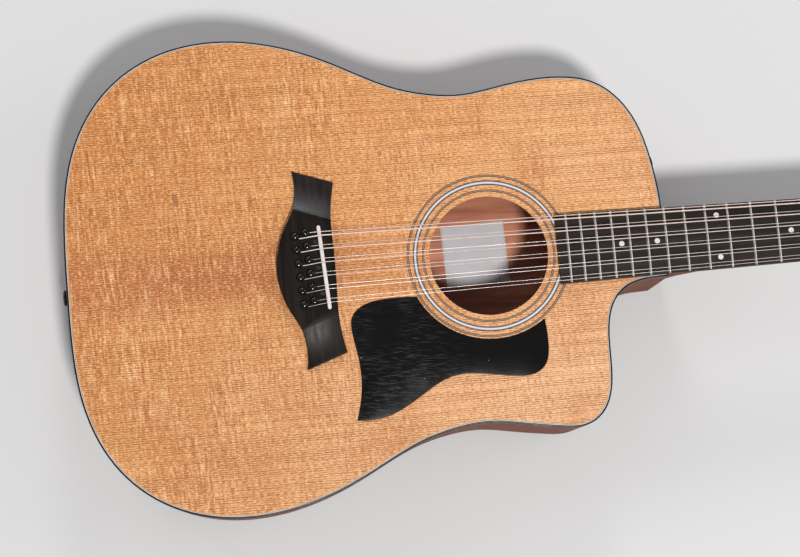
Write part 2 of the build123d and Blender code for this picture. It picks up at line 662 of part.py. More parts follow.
def string_points(i):
    r = GAUGE[i] / 2
    pu, pv = PINS[i]
    ys, yn = course_y(i, SAD_COURSES, SAD_GAP), course_y(i, NUT_COURSES, NUT_GAP)
    us = SADDLE_U - math.tan(math.radians(SADDLE_ANG)) * ys
    zs = BOARD_R - math.sqrt(BOARD_R ** 2 - ys * ys)
    zn = BOARD_R - math.sqrt(BOARD_R ** 2 - yn * yn)
    # a rear string leaves its pin on the treble side and clears the head of the pin in front
    fu, fv = PINS[i - i % 2]
    for turn in range(60):
        a = math.radians(turn)
        k = PIN_HEAD_R + 0.12 + r * (math.sin(a) + 0.35)
        b = math.atan2(ys - pv, us - pu) - a
        su, sv = pu + k * math.cos(b), pv + k * math.sin(b)
        miss = abs((us - su) * (fv - sv) - (ys - sv) * (fu - su)) / math.hypot(us - su, ys - sv)
        if i % 2 == 0 or miss >= PIN_HEAD_R + r + 0.12:
            break
    p0 = P(su, sv, BRIDGE_H + r + 0.1)
    p1 = P(us, ys, SADDLE_TOP - zs + r + 0.24)
    p2 = P(SCALE + 0.5, yn, STRING_LOW - zn + r)
    s, y, side = POSTS[STRING_POST[i]]
    p3 = H(s, y - side * (POST_R + r + 0.08), WIND_N + r + 0.1)
    return [p0, p1, p2, p3]


strings_list = []
for i in range(12):
    pts = string_points(i)
    with BuildPart() as one:
        with BuildLine() as path:
            FilletPolyline(*pts, radius=3.0)
        start = path.line
        with BuildSketch(Plane(origin=start @ 0, z_dir=start % 0)):
            Circle(GAUGE[i] / 2)
        sweep(path=path.line)
    strings_list.append(one.part)
strings = Compound(children=strings_list)
save(strings, "strings")

with BuildPart() as nut:
    with BuildSketch(Plane(origin=P(SCALE + 0.01, 0, 0), x_dir=(0, 1, 0), z_dir=(1, 0, 0))):
        with BuildLine():
            h = NUT_W / 2
            drop = BOARD_R - math.sqrt(BOARD_R ** 2 - h * h)
            ThreePointArc((-h, NUT_TOP - drop), (0, NUT_TOP), (h, NUT_TOP - drop))
            Polyline((h, NUT_TOP - drop), (h, 0.02), (-h, 0.02), (-h, NUT_TOP - drop))
        make_face()
    extrude(amount=NUT_T - 0.02)
    for i in range(12):
        p0, p1, p2, p3 = string_points(i)
        w = GAUGE[i] + 0.16
        dy = (p3[1] - p2[1]) / (p3[0] - p2[0])
        x0, x1, xe = p2[0] - 2, p2[0], p2[0] + 8
        for xa, ya, xb, yb, low in ((x0, p2[1], x1 + 0.3, p2[1], 0.10), (x1 - 0.3, p2[1], xe, p2[1] + dy * 8, 1.5)):
            with BuildSketch(Plane.XY.offset(p2[2] - GAUGE[i] / 2 - low)):
                with BuildLine():
                    Polyline((xa, ya - w / 2), (xb, yb - w / 2), (xb, yb + w / 2), (xa, ya + w / 2), close=True)
                make_face()
            extrude(amount=6, mode=Mode.SUBTRACT)
save(nut.part, "nut")

# ---------------------------------------------------------------- tuning machines
# local frame of one machine: origin on the post axis at the headstock face, x outwards, z out of the face
BACK_N = -OVERLAY_T - HEAD_T
GEAR_N = BACK_N - 5.0
SHAFT_R = 1.9
BUTTON_X = 14.5


def machine_location(s, y, side):
    return Plane(origin=H(s, y, 0), x_dir=(0, side, 0), z_dir=N_DIR).location


with BuildPart() as worm_thread:
    with BuildLine() as coil:
        Helix(WORM_PITCH, 4 * WORM_PITCH, 1.4, center=(0, 0, -2 * WORM_PITCH))
    with BuildSketch(Plane(origin=coil.line @ 0, x_dir=(0, 0, 1), z_dir=coil.line % 0)):
        with BuildLine():
            Polyline((-0.42, 0), (0.42, 0), (0.2, 0.93), (-0.2, 0.93), close=True)
        make_face()
    sweep(path=coil.line, is_frenet=True)
thread = worm_thread.part


def make_key(ws):
    """Worm shaft, finger button and its screw; ws is the side of the post the worm runs on."""
    yc = ws * WORM_C
    with BuildPart() as core:
        with BuildSketch(Plane(origin=(-5.6, yc, GEAR_N), x_dir=(0, 1, 0), z_dir=(1, 0, 0))):
            Circle(1.45)
        extrude(amount=10.4)
        with BuildSketch(Plane(origin=(4.8, yc, GEAR_N), x_dir=(0, 1, 0), z_dir=(1, 0, 0))):
            Circle(SHAFT_R)
        extrude(amount=BUTTON_X + 6 - 4.8)
        add(thread.moved(Plane(origin=(0, yc, GEAR_N), x_dir=(0, -ws, 0), z_dir=(1, 0, 0)).location))
    with BuildPart() as button:
        with BuildSketch(Plane(origin=(BUTTON_X, yc, GEAR_N), x_dir=(0, 1, 0), z_dir=(1, 0, 0))):
            SlotOverall(10.5, 6.2)
        with BuildSketch(Plane(origin=(BUTTON_X + 4.5, yc, GEAR_N), x_dir=(0, 1, 0), z_dir=(1, 0, 0))):
            SlotOverall(15.5, 7.0)
        with BuildSketch(Plane(origin=(BUTTON_X + 11.5, yc, GEAR_N), x_dir=(0, 1, 0), z_dir=(1, 0, 0))):
            SlotOverall(16.5, 6.4)
        loft(ruled=True)
        fillet(button.faces().sort_by(Axis.X)[-1].edges(), 1.6)
        with Locations((BUTTON_X - 1.5, yc, GEAR_N)):
            Cylinder(2.9, 3.0, rotation=(0, 90, 0))
        with Locations((BUTTON_X + 1.5, yc, GEAR_N)):
            Cylinder(SHAFT_R, 9.0, rotation=(0, 90, 0), mode=Mode.SUBTRACT)
    with BuildPart() as screw:
        with Locations((BUTTON_X + 11.5 + 0.45, yc, GEAR_N)):
            Cylinder(1.9, 0.9, rotation=(0, 90, 0))
            Box(1.0, 0.6, 3.0, mode=Mode.SUBTRACT)
    return core.part, button.part, screw.part


def make_post(ws, gauge):
    with BuildPart() as post:
        with Locations((0, 0, 0)):
            Cylinder(POST_R, 12.5, align=(Align.CENTER, Align.CENTER, Align.MIN))
        with BuildSketch(Plane.XY.offset(GEAR_N + 1.4)):
            Circle(POST_R)
        extrude(amount=-(GEAR_N + 1.4))
        with BuildSketch(Plane.XY.offset(GEAR_N - 1.2)):
            Circle(1.6)
        extrude(amount=2.6)
        fillet(post.edges().filter_by(GeomType.CIRCLE).sort_by(Axis.Z)[-1:], 0.7)
        with Locations((0, 0, 9.6)):
            Cylinder(0.8, 12, rotation=(0, 90, 0), mode=Mode.SUBTRACT)
    pitch_r = WORM_PITCH * WHEEL_TEETH / (2 * math.pi)
    ro, rr = pitch_r + 0.33, pitch_r - 0.62
    with BuildPart() as wheel:
        with BuildSketch(Plane.XY.offset(GEAR_N - 1.2)):
            with BuildLine():
                pts = []
                for k in range(WHEEL_TEETH):
                    a0 = ws * math.pi / 2 + 2 * math.pi * (k + 0.5) / WHEEL_TEETH
                    for rad, hw in ((rr, -0.62), (ro, -0.22), (ro, 0.22), (rr, 0.62)):
                        da = hw / rad
                        pts.append((rad * math.cos(a0 + da), rad * math.sin(a0 + da)))
                Polyline(*pts, close=True)
            make_face()
            Circle(1.6, mode=Mode.SUBTRACT)
        extrude(amount=2.4)
    with BuildPart() as winding:
        with BuildSketch(Plane.XY.offset(WIND_N - 3.0)):
            Circle(POST_R + gauge)
            Circle(POST_R, mode=Mode.SUBTRACT)
        extrude(amount=3.0)
    return post.part, wheel.part, winding.part


def make_housing(ws):
    """Cast cover screwed to the back of the headstock, hollow around wheel and worm."""
    yc = ws * WORM_C
    with BuildPart() as h:
        with BuildSketch(Plane.XY.offset(BACK_N)):
            with Locations((0.2, ws * 2.0)):
                RectangleRounded(16.4, 17.4, 3.0)
        extrude(amount=-9.6)
        fillet(h.faces().sort_by(Axis.Z)[0].edges(), 1.6)
        # cavity open to the headstock
        with BuildSketch(Plane.XY.offset(BACK_N)):
            Circle(5.2)
            with Locations((-0.3, yc)):
                Rectangle(11.4, 5.6)
            with Locations((0, yc / 2)):
                Rectangle(8, abs(yc))
        extrude(amount=-8.0, mode=Mode.SUBTRACT)
        with Locations((8, yc, GEAR_N)):
            Cylinder(SHAFT_R + 0.06, 10, rotation=(0, 90, 0), mode=Mode.SUBTRACT)
        # collar round the shaft
        with BuildSketch(Plane(origin=(8.4, yc, GEAR_N), x_dir=(0, 1, 0), z_dir=(1, 0, 0))):
            Circle(3.3)
            Circle(SHAFT_R + 0.06, mode=Mode.SUBTRACT)
        extrude(amount=2.2)
        # mounting ear
        with BuildSketch(Plane.XY.offset(BACK_N)):
            with Locations((-1.0, -ws * 9.0)):
                SlotOverall(9.2, 5.6, rotation=90)
            with Locations((-1.0, -ws * EAR_Y)):
                Circle(PILOT_R + 0.05, mode=Mode.SUBTRACT)
            with Locations((0, 0)):
                Rectangle(16, 12.0, mode=Mode.SUBTRACT)
        extrude(amount=-1.6)
    return h.part


keys = {ws: make_key(ws) for ws in (-1, 1)}
housing = {ws: make_housing(ws) for ws in (-1, 1)}
housing_parts, bushing_parts, screw_parts = [], [], []

with BuildPart() as bushing:
    with BuildSketch(Plane.XY):
        Circle(5.7)
    extrude(amount=0.9)
    with BuildSketch(Plane.XY.offset(0.9)):
        RegularPolygon(5.2, 6)
    extrude(amount=2.2)
    with BuildSketch(Plane.XY):
        Circle(4.18)
    extrude(amount=-11)
    with BuildSketch(Plane.XY.offset(-12)):
        Circle(POST_BORE)
    extrude(amount=20, mode=Mode.SUBTRACT)

with BuildPart() as wood_screw:
    with BuildSketch(Plane.XZ):
        with BuildLine():
            Polyline((0, -8.0), (0.3, -8.0), (1.0, -7.0), (1.0, 0.0), (2.1, 0.0))
            ThreePointArc((2.1, 0.0), (1.5, 0.9), (0.4, 1.2))
            Polyline((0.4, 1.2), (0, 1.2), (0, -8.0))
        make_face()
    revolve(axis=Axis.Z)
    with Locations((0, 0, 1.1)):
        Box(2.4, 0.45, 0.7, mode=Mode.SUBTRACT)
        Box(0.45, 2.4, 0.7, mode=Mode.SUBTRACT)

JOINTS = []
for i, (s, y, side) in enumerate(POSTS):
    ws = side  # the worm runs on the side away from local +y on the bass column so both columns mirror each other
    loc = machine_location(s, y, side)
    string_i = STRING_POST.index(i)
    number = string_i + 1
    key = Compound(children=[p.moved(loc) for p in keys[ws]])
    save(key, f"tuner_key_{number:02d}")
    post = Compound(children=[p.moved(loc) for p in make_post(ws, GAUGE[string_i])])
    save(post, f"string_post_{number:02d}")
    housing_parts.append(housing[ws].moved(loc))
    bushing_parts.append(bushing.part.moved(loc))
    back_screw = Plane(origin=(-1.0, -ws * EAR_Y, BACK_N - 1.6), x_dir=(1, 0, 0), z_dir=(0, 0, -1)).location
    screw_parts.append(wood_screw.part.moved(loc * back_screw))
    gear_p = loc * Location((0, ws * WORM_C, GEAR_N))
    JOINTS.append((number, side, [round(c, 4) for c in gear_p.position], [round(c, 4) for c in loc.position]))
save(Compound(children=housing_parts), "tuner_housings")
save(Compound(children=bushing_parts), "tuner_bushings")

# ---------------------------------------------------------------- electronics and strap hardware
with BuildPart() as jack:
    with BuildSketch(Plane(origin=P(TAIL_U, 0, JACK_W), x_dir=(-1, 0, 0), z_dir=(0, -1, 0))):
        with BuildLine():
            Polyline((0.02, 0), (0.02, 8.6), (1.2, 8.6), (1.7, 8.0), (2.4, 5.3), (5.0, 5.3), (5.7, 6.6), (7.0, 6.9),
                     (7.7, 6.2), (7.7, 0), (0.02, 0))
        make_face()
    revolve(axis=Axis(P(TAIL_U, 0, JACK_W), (1, 0, 0)))
    with Locations(P(TAIL_U + 24, 0, JACK_W)):
        Cylinder(5.9, 48, rotation=(0, 90, 0))
    with Locations(P(-189.6, 0, JACK_W)):
        Cylinder(8.6, 3.0, rotation=(0, 90, 0))
    with Locations(P(-210.6, 0, JACK_W)):
        Cylinder(3.2, 35.2, rotation=(0, 90, 0), mode=Mode.SUBTRACT)
save(jack.part, "endpin_jack")

with BuildPart() as batt_box:
    with Locations(P(-216, BATT_V, BATT_W)):
        Box(10, BATT_W2 + 7, BATT_H2 + 7)
    with BuildSketch(Plane.XY.offset(TZ - BODY_DEPTH + 10)):
        add(FACE[0])
    extrude(amount=BODY_DEPTH, mode=Mode.SUBTRACT)
    with Locations(P(-190, BATT_V, BATT_W)):
        Box(62, BATT_W2, BATT_H2)
    with Locations(P(-190 - 1.5, BATT_V, BATT_W)):
        Box(62, BATT_W2 - 4, BATT_H2 - 4, mode=Mode.SUBTRACT)
save(batt_box.part, "battery_box")

with BuildPart() as drawer:
    with Locations(P(-192, BATT_V, BATT_W)):
        Box(57.6, BATT_W2 - 4.6, BATT_H2 - 4.6)
    with Locations(P(-190.2, BATT_V, BATT_W + 1.5)):
        Box(49.4, 27.0, 20, mode=Mode.SUBTRACT)
    with Locations(P(-221.8, BATT_V, BATT_W)):
        Box(2.4, 12, 5)
with BuildPart() as battery:
    with Locations(P(-190.2, BATT_V, BATT_W - 8.45 + 8.75)):
        Box(48.5, 26.2, 17.3)
save(Compound(children=[drawer.part, battery.part]), "battery_drawer")


def knob_part(w):
    with BuildPart() as k:
        with BuildSketch(rim_plane(w, 0.35)):
            Circle(6.2)
        extrude(amount=4.6)
        fillet(k.edges().filter_by(GeomType.CIRCLE).sort_by(Axis.X)[-1:], 1.8)
        with BuildSketch(rim_plane(w, -9.5)):
            Circle(3.0)
        extrude(amount=9.9)
        with BuildSketch(rim_plane(w, 3.6)):
            with Locations((3.6, 0)):
                Rectangle(3.4, 0.7)
        extrude(amount=3, mode=Mode.SUBTRACT)
    return k.part


for name, w in zip(("volume_knob", "treble_knob", "bass_knob"), KNOB_WS):
    save(knob_part(w), name)

with BuildPart() as preamp:
    with BuildSketch(rim_plane(-42.0, -15.0)):
        RectangleRounded(64, 24, 2)
    extrude(amount=5.0)
    for w in KNOB_WS:
        with BuildSketch(rim_plane(w, -10.0)):
            Circle(5.2)
        extrude(amount=7.4)
        with BuildSketch(rim_plane(w, -9.8)):
            Circle(3.06)
        extrude(amount=8.0, mode=Mode.SUBTRACT)
save(preamp.part, "preamp")

# strap button on the heel's cap, its axis along Z
with BuildPart() as strap_button:
    with BuildSketch(Plane(origin=P(STRAP_U, 0, HEEL_W), x_dir=(0, 0, -1), z_dir=(0, -1, 0))):
        with BuildLine():
            Polyline((0.02, 0), (0.02, 5.4), (1.2, 5.2), (3.0, 3.7), (7.5, 3.7), (9.2, 6.6), (11.0, 6.9), (12.2, 5.6),
                     (12.2, 0), (0.02, 0))
        make_face()
    revolve(axis=Axis(P(STRAP_U, 0, HEEL_W), (0, 0, 1)))
    with Locations(P(STRAP_U, 0, HEEL_W - 11.4)):
        Cylinder(3.3, 4.0, mode=Mode.SUBTRACT)
    with Locations(P(STRAP_U, 0, HEEL_W - 6)):
        Cylinder(1.75, 30, mode=Mode.SUBTRACT)
save(strap_button.part, "strap_button")
with BuildPart() as strap_screw:
    with Locations(P(STRAP_U, 0, HEEL_W - 10.4)):
        Cylinder(3.1, 1.8)
    with Locations(P(STRAP_U, 0, HEEL_W - 11.3)):
        Box(4.4, 0.8, 1.6, mode=Mode.SUBTRACT)
        Box(0.8, 4.4, 1.6, mode=Mode.SUBTRACT)
    with Locations(P(STRAP_U, 0, HEEL_W + 3.0)):
        Cylinder(1.6, 26)
bolt_parts = []
for w in (-38, -74):
    with BuildPart() as bolt:
        with Locations(P(258.5, 0, w)):
            Cylinder(3.1, 80, rotation=(0, 90, 0))
        with Locations(P(221.9, 0, w)):
            Cylinder(6.4, 4.6, rotation=(0, 90, 0))
        with BuildSketch(Plane(origin=P(216.0, 0, w), x_dir=(0, 1, 0), z_dir=(1, 0, 0))):
            Circle(3.2)
        extrude(amount=3.61, mode=Mode.SUBTRACT)
        with BuildSketch(Plane(origin=P(216.0, 0, w), x_dir=(0, 1, 0), z_dir=(1, 0, 0))):
            RegularPolygon(2.6, 6)
        extrude(amount=6, mode=Mode.SUBTRACT)
    bolt_parts.append(bolt.part)
for s, y in COVER_SCREWS:
    loc = Plane(origin=H(s, y, 1.8), x_dir=(0, 1, 0), z_dir=N_DIR).location
    screw_parts.append(wood_screw.part.moved(loc))
save(Compound(children=screw_parts + bolt_parts + [strap_screw.part]), "fasteners")

print("JOINT DATA", JOINTS)
print("RIM PLANE", rim_plane(KNOB_WS[0]).origin, KNOB_DIR)
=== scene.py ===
import bmesh
import bpy
import math
import random
from mathutils import Matrix, Vector


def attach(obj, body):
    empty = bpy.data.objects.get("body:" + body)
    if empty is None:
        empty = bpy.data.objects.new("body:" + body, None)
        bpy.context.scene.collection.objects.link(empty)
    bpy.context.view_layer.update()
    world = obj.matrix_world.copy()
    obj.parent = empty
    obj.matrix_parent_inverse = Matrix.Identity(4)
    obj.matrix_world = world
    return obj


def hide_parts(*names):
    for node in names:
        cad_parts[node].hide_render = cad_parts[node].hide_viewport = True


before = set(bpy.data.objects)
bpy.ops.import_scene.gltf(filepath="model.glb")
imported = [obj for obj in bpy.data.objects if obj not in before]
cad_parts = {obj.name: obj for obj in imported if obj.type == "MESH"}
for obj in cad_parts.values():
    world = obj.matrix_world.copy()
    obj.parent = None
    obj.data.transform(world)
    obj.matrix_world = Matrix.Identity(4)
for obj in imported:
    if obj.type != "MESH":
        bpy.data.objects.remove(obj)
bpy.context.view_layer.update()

MM = 0.001
SX, TZ = -307.354, 118.7  # saddle line and top face of the row frame, mm
HOLE = Vector((136.7 + SX, 0.0, TZ)) * MM
SCALE, NUT_W, BOARD_TAPER = 647.7, 47.4, 0.0255
COL = bpy.context.scene.collection


# ------------------------------------------------------------------ node material helpers
class Mat:
    """A node material: a Principled shader and short calls that add nodes to it."""

    def __init__(self, name, rough=0.5, metal=0.0, spec=0.5, coat=0.0, coat_rough=0.1):
        self.m = bpy.data.materials.new(name)
        self.m.use_nodes = True
        self.t = self.m.node_tree
        self.t.nodes.clear()
        self.out = self.t.nodes.new("ShaderNodeOutputMaterial")
        self.b = self.t.nodes.new("ShaderNodeBsdfPrincipled")
        self.t.links.new(self.b.outputs[0], self.out.inputs[0])
        self.b.inputs["Roughness"].default_value = rough
        self.b.inputs["Metallic"].default_value = metal
        self.b.inputs["Specular IOR Level"].default_value = spec
        self.b.inputs["Coat Weight"].default_value = coat
        self.b.inputs["Coat Roughness"].default_value = coat_rough
        self._xyz = None
        self._obj = None

    def set(self, sock, v):
        if isinstance(v, bpy.types.NodeSocket):
            self.t.links.new(v, sock)
        elif isinstance(v, (tuple, list)) and len(v) == 3 and sock.type == "RGBA":
            sock.default_value = (*v, 1.0)
        else:
            sock.default_value = v

    def to(self, name, v):
        self.set(self.b.inputs[name], v)
        return self

    def obj(self):
        if self._obj is None:
            self._obj = self.t.nodes.new("ShaderNodeTexCoord").outputs["Object"]
        return self._obj

    def xyz(self):
        if self._xyz is None:
            n = self.t.nodes.new("ShaderNodeSeparateXYZ")
            self.t.links.new(self.obj(), n.inputs[0])
            self._xyz = n.outputs
        return self._xyz

    def math(self, op, a, b=0.0, c=0.0, clamp=False):
        n = self.t.nodes.new("ShaderNodeMath")
        n.operation = op
        n.use_clamp = clamp
        self.set(n.inputs[0], a)
        self.set(n.inputs[1], b)
        self.set(n.inputs[2], c)
        return n.outputs[0]

    def vec(self, x, y, z=0.0):
        n = self.t.nodes.new("ShaderNodeCombineXYZ")
        for s, v in zip(n.inputs, (x, y, z)):
            self.set(s, v)
        return n.outputs[0]

    def scaled(self, v, k, rot=0.0):
        n = self.t.nodes.new("ShaderNodeMapping")
        self.t.links.new(v, n.inputs["Vector"])
        n.inputs["Scale"].default_value = k if isinstance(k, (tuple, list)) else (k, k, k)
        n.inputs["Rotation"].default_value = (0, 0, rot)
        return n.outputs[0]

    def noise(self, v, scale=1.0, detail=2.0, rough=0.5, dist=0.0, out=0):
        n = self.t.nodes.new("ShaderNodeTexNoise")
        self.set(n.inputs["Vector"], v)
        n.inputs["Scale"].default_value = scale
        n.inputs["Detail"].default_value = detail
        n.inputs["Roughness"].default_value = rough
        n.inputs["Distortion"].default_value = dist
        return n.outputs[out]

    def voronoi(self, v, scale=1.0, feature="F1", out="Distance"):
        n = self.t.nodes.new("ShaderNodeTexVoronoi")
        n.feature = feature
        self.set(n.inputs["Vector"], v)
        n.inputs["Scale"].default_value = scale
        return n.outputs[out]

    def ramp(self, fac, stops, interp="LINEAR"):
        n = self.t.nodes.new("ShaderNodeValToRGB")
        r = n.color_ramp
        r.interpolation = interp
        r.elements.remove(r.elements[1])
        r.elements[0].position = stops[0][0]
        for p, c in stops[1:]:
            r.elements.new(p)
        for e, (p, c) in zip(r.elements, stops):
            e.color = (*c, 1.0) if isinstance(c, (tuple, list)) else (c, c, c, 1.0)
        self.set(n.inputs[0], fac)
        return n.outputs[0]

    def smooth(self, v, lo, hi, a=0.0, b=1.0):
        n = self.t.nodes.new("ShaderNodeMapRange")
        n.interpolation_type = "SMOOTHSTEP"
        self.set(n.inputs["Value"], v)
        n.inputs["From Min"].default_value = lo
        n.inputs["From Max"].default_value = hi
        n.inputs["To Min"].default_value = a
        n.inputs["To Max"].default_value = b
        return n.outputs[0]

    def mix(self, fac, a, b, blend="MIX"):
        n = self.t.nodes.new("ShaderNodeMix")
        n.data_type = "RGBA"
        n.blend_type = blend
        self.set(n.inputs[0], fac)
        self.set(n.inputs[6], a)
        self.set(n.inputs[7], b)
        return n.outputs[2]

    def bump(self, height, strength=0.3, distance=0.0005, under=None):
        n = self.t.nodes.new("ShaderNodeBump")
        n.inputs["Strength"].default_value = strength
        n.inputs["Distance"].default_value = distance
        self.set(n.inputs["Height"], height)
        if under is not None:
            self.t.links.new(under, n.inputs["Normal"])
        self.t.links.new(n.outputs[0], self.b.inputs["Normal"])
        return n.outputs[0]


# ------------------------------------------------------------------ materials
def spruce():
    k = Mat("spruce_top", rough=0.46, spec=0.20)
    X, Y, Z = k.xyz()[0], k.xyz()[1], k.xyz()[2]
    ay = k.math("ABSOLUTE", Y)
    # colour: the wood's tone under a painted shade gradient, darker and redder towards the tail and paler at the
    # shoulders and cutaway, with a second, paler version of that gradient on the treble side; redder along the joint,
    # which is the wood's own
    bandn = k.noise(k.vec(k.math("MULTIPLY", X, 1.6), k.math("MULTIPLY", ay, 22.0), 5.0), 1.0, 3.0, 0.55)
    along = k.math("ADD", X, k.math("MULTIPLY", k.math("SUBTRACT", bandn, 0.5), 0.22))
    base = k.ramp(k.math("ADD", along, 0.53), [(0.0, (0.575, 0.218, 0.058)), (0.12, (0.620, 0.252, 0.076)),
                                                (0.25, (0.700, 0.312, 0.110)), (0.36, (0.750, 0.365, 0.150)),
                                                (0.50, (0.785, 0.415, 0.195))])
    # the painted shade gradient again, in paler colours, blended in towards the treble side
    low = k.smooth(Y, 0.02, -0.13, 0.0, 0.75)
    base = k.mix(low, base, k.mix(k.smooth(X, -0.50, -0.05), (0.610, 0.275, 0.096), (0.790, 0.465, 0.265)))
    joint = k.math("MULTIPLY", k.smooth(k.math("ADD", ay, k.math("MULTIPLY", k.math("SUBTRACT", bandn, 0.5), 0.030)), 0.034, 0.012),
                   k.smooth(X, -0.22, -0.40, 0.15, 0.95))
    base = k.mix(joint, base, (0.450, 0.140, 0.040))
    blotch = k.noise(k.vec(k.math("MULTIPLY", X, 17.0), k.math("MULTIPLY", Y, 11.0), 2.0), 1.0, 4.0, 0.62)
    base = k.mix(k.smooth(blotch, 0.46, 0.70, 0.0, 0.55), base, (0.540, 0.200, 0.066))
    base = k.mix(k.smooth(blotch, 0.46, 0.28, 0.0, 0.35), base, (0.80, 0.455, 0.225))
    # growth rings: lines along X, wandering a little, of uneven strength
    wander = k.noise(k.vec(k.math("MULTIPLY", X, 2.0), k.math("MULTIPLY", ay, 12.0), 3.1), 1.0, 2.0)
    yy = k.math("ADD", ay, k.math("MULTIPLY", k.math("SUBTRACT", wander, 0.5), 0.008))
    fine = k.noise(k.vec(k.math("MULTIPLY", X, 30.0), k.math("MULTIPLY", ay, 60.0), 8.0), 1.0, 2.0)
    yf = k.math("ADD", yy, k.math("MULTIPLY", k.math("SUBTRACT", fine, 0.5), 0.0009))
    line = k.math("FRACT", k.math("MULTIPLY", yf, 545.0))
    late = k.ramp(line, [(0.0, 0.15), (0.18, 0.0), (0.38, 0.05), (0.62, 0.80), (0.80, 1.0), (0.92, 0.9), (1.0, 0.15)])
    strength = k.noise(k.vec(k.math("MULTIPLY", X, 7.0), k.math("MULTIPLY", yy, 240.0), 9.0), 1.0, 3.0, 0.6)
    rings = k.math("MULTIPLY", late, k.smooth(strength, 0.30, 0.64, 0.15, 1.0))
    # medullary silk: dense short flecks across the grain, stronger in patches and drawn into columns
    lean = k.math("ADD", X, k.math("MULTIPLY", Y, 0.05))
    silk1 = k.noise(k.vec(k.math("MULTIPLY", lean, 600.0), k.math("MULTIPLY", Y, 60.0), 7.0), 1.0, 2.0, 0.55)
    silk2 = k.noise(k.vec(k.math("MULTIPLY", lean, 300.0), k.math("MULTIPLY", Y, 24.0), 17.0), 1.0, 2.0, 0.55)
    silkn = k.math("ADD", k.math("MULTIPLY", silk1, 0.65), k.math("MULTIPLY", silk2, 0.35))
    silkm = k.noise(k.vec(k.math("MULTIPLY", X, 24.0), k.math("MULTIPLY", Y, 9.0), 11.0), 1.0, 3.0, 0.6)
    mask = k.math("MULTIPLY", k.smooth(silkm, 0.36, 0.62, 0.30, 1.0), k.smooth(X, -0.12, -0.36, 0.50, 1.0))
    light = k.math("MULTIPLY", k.smooth(silkn, 0.50, 0.62), mask)
    dark = k.math("MULTIPLY", k.smooth(silkn, 0.50, 0.39), mask)
    grain = k.noise(k.vec(k.math("MULTIPLY", X, 300.0), k.math("MULTIPLY", Y, 1050.0), 4.0), 1.0, 3.0, 0.65)
    col = k.mix(k.math("MULTIPLY", light, 0.60), base, (0.93, 0.585, 0.300))
    col = k.mix(k.math("MULTIPLY", dark, 0.62), col, (0.330, 0.102, 0.025))
    col = k.mix(k.math("MULTIPLY", rings, 0.88), col, (0.250, 0.080, 0.020))
    col = k.mix(k.smooth(grain, 0.52, 0.63, 0.0, 0.55), col, (0.24, 0.080, 0.022))
    col = k.mix(k.smooth(grain, 0.47, 0.36, 0.0, 0.50), col, (0.97, 0.65, 0.37))
    # one small knot scar
    kx = k.math("MULTIPLY", k.math("SUBTRACT", X, (-123.6 + SX) * MM), 210.0)
    ky = k.math("MULTIPLY", k.math("SUBTRACT", Y, 68.4 * MM), 100.0)
    kr = k.math("SQRT", k.math("ADD", k.math("MULTIPLY", kx, kx), k.math("MULTIPLY", ky, ky)))
    kr = k.math("ADD", kr, k.math("MULTIPLY", k.math("SUBTRACT", k.noise(k.obj(), 260.0, 2.0), 0.5), 0.9))
    col = k.mix(k.smooth(kr, 0.75, 0.25, 0.0, 0.60), col, (0.20, 0.075, 0.026))
    # bare wood inside the hole and under the top
    inner = k.smooth(Z, (TZ - 0.5) * MM, (TZ - 0.3) * MM, 1.0, 0.0)
    col = k.mix(inner, col, (0.74, 0.42, 0.20))
    k.to("Base Color", col)
    k.to("Roughness", k.smooth(silkn, 0.3, 0.7, 0.40, 0.52))
    h = k.math("ADD", k.math("MULTIPLY", rings, -0.5), k.math("MULTIPLY", grain, -0.6))
    k.bump(k.math("ADD", h, k.math("MULTIPLY", silkn, 0.4)), 0.25, 0.00014)
    return k.m


def brown_wood(name, dark, mid, pale, axis="X", rough=0.35, coat=0.0, ribbon=1.0, pores=1.0, spec=0.45, coat_rough=0.08,
               bare=False):
    """Sapele or mahogany: ribbon stripe and short dark pores along one axis."""
    k = Mat(name, rough=rough, spec=spec, coat=coat, coat_rough=coat_rough)
    X, Y, Z = k.xyz()
    a, b = (X, Y) if axis == "X" else (Y, X)
    zz = k.math("MULTIPLY", Z, 60.0)
    wav = k.noise(k.vec(k.math("MULTIPLY", a, 3.0), k.math("MULTIPLY", b, 24.0), zz), 1.0, 3.0, 0.55)
    stripes = k.noise(k.vec(k.math("MULTIPLY", a, 2.0), k.math("MULTIPLY", b, 95.0), k.math("MULTIPLY", Z, 130.0)), 1.0, 3.0, 0.6, 0.4)
    cross = k.noise(k.vec(k.math("MULTIPLY", a, 46.0), k.math("MULTIPLY", b, 16.0), zz), 1.0, 2.0, 0.5, 0.6)
    f = k.math("ADD", k.math("MULTIPLY", stripes, 0.65 * ribbon), k.math("MULTIPLY", wav, 0.35))
    f = k.math("ADD", f, k.math("MULTIPLY", k.math("SUBTRACT", cross, 0.5), 0.22 * ribbon))
    col = k.ramp(f, [(0.22, dark), (0.50, mid), (0.76, pale)])
    pore = k.noise(k.vec(k.math("MULTIPLY", a, 120.0), k.math("MULTIPLY", b, 1500.0), k.math("MULTIPLY", Z, 1500.0)), 1.0, 2.0, 0.6)
    pm = k.smooth(pore, 0.60, 0.74, 0.0, 0.55 * pores)
    col = k.mix(pm, col, tuple(c * 0.28 for c in dark))
    if bare:
        # the side of the plate that faces up, into the box, is unfinished and paler
        n = k.t.nodes.new("ShaderNodeNewGeometry")
        sep = k.t.nodes.new("ShaderNodeSeparateXYZ")
        k.t.links.new(n.outputs["True Normal"], sep.inputs[0])
        up = k.smooth(sep.outputs[2], 0.4, 0.6)
        col = k.mix(up, col, k.mix(k.smooth(stripes, 0.3, 0.7), (0.35, 0.110, 0.055), (0.68, 0.265, 0.150)))
        k.to("Roughness", k.math("ADD", k.math("MULTIPLY", up, 0.3), rough))
    k.to("Base Color", col)
    k.bump(k.math("ADD", k.math("MULTIPLY", pore, -1.0), k.math("MULTIPLY", stripes, 0.3)), 0.18, 0.00012)
    return k.m


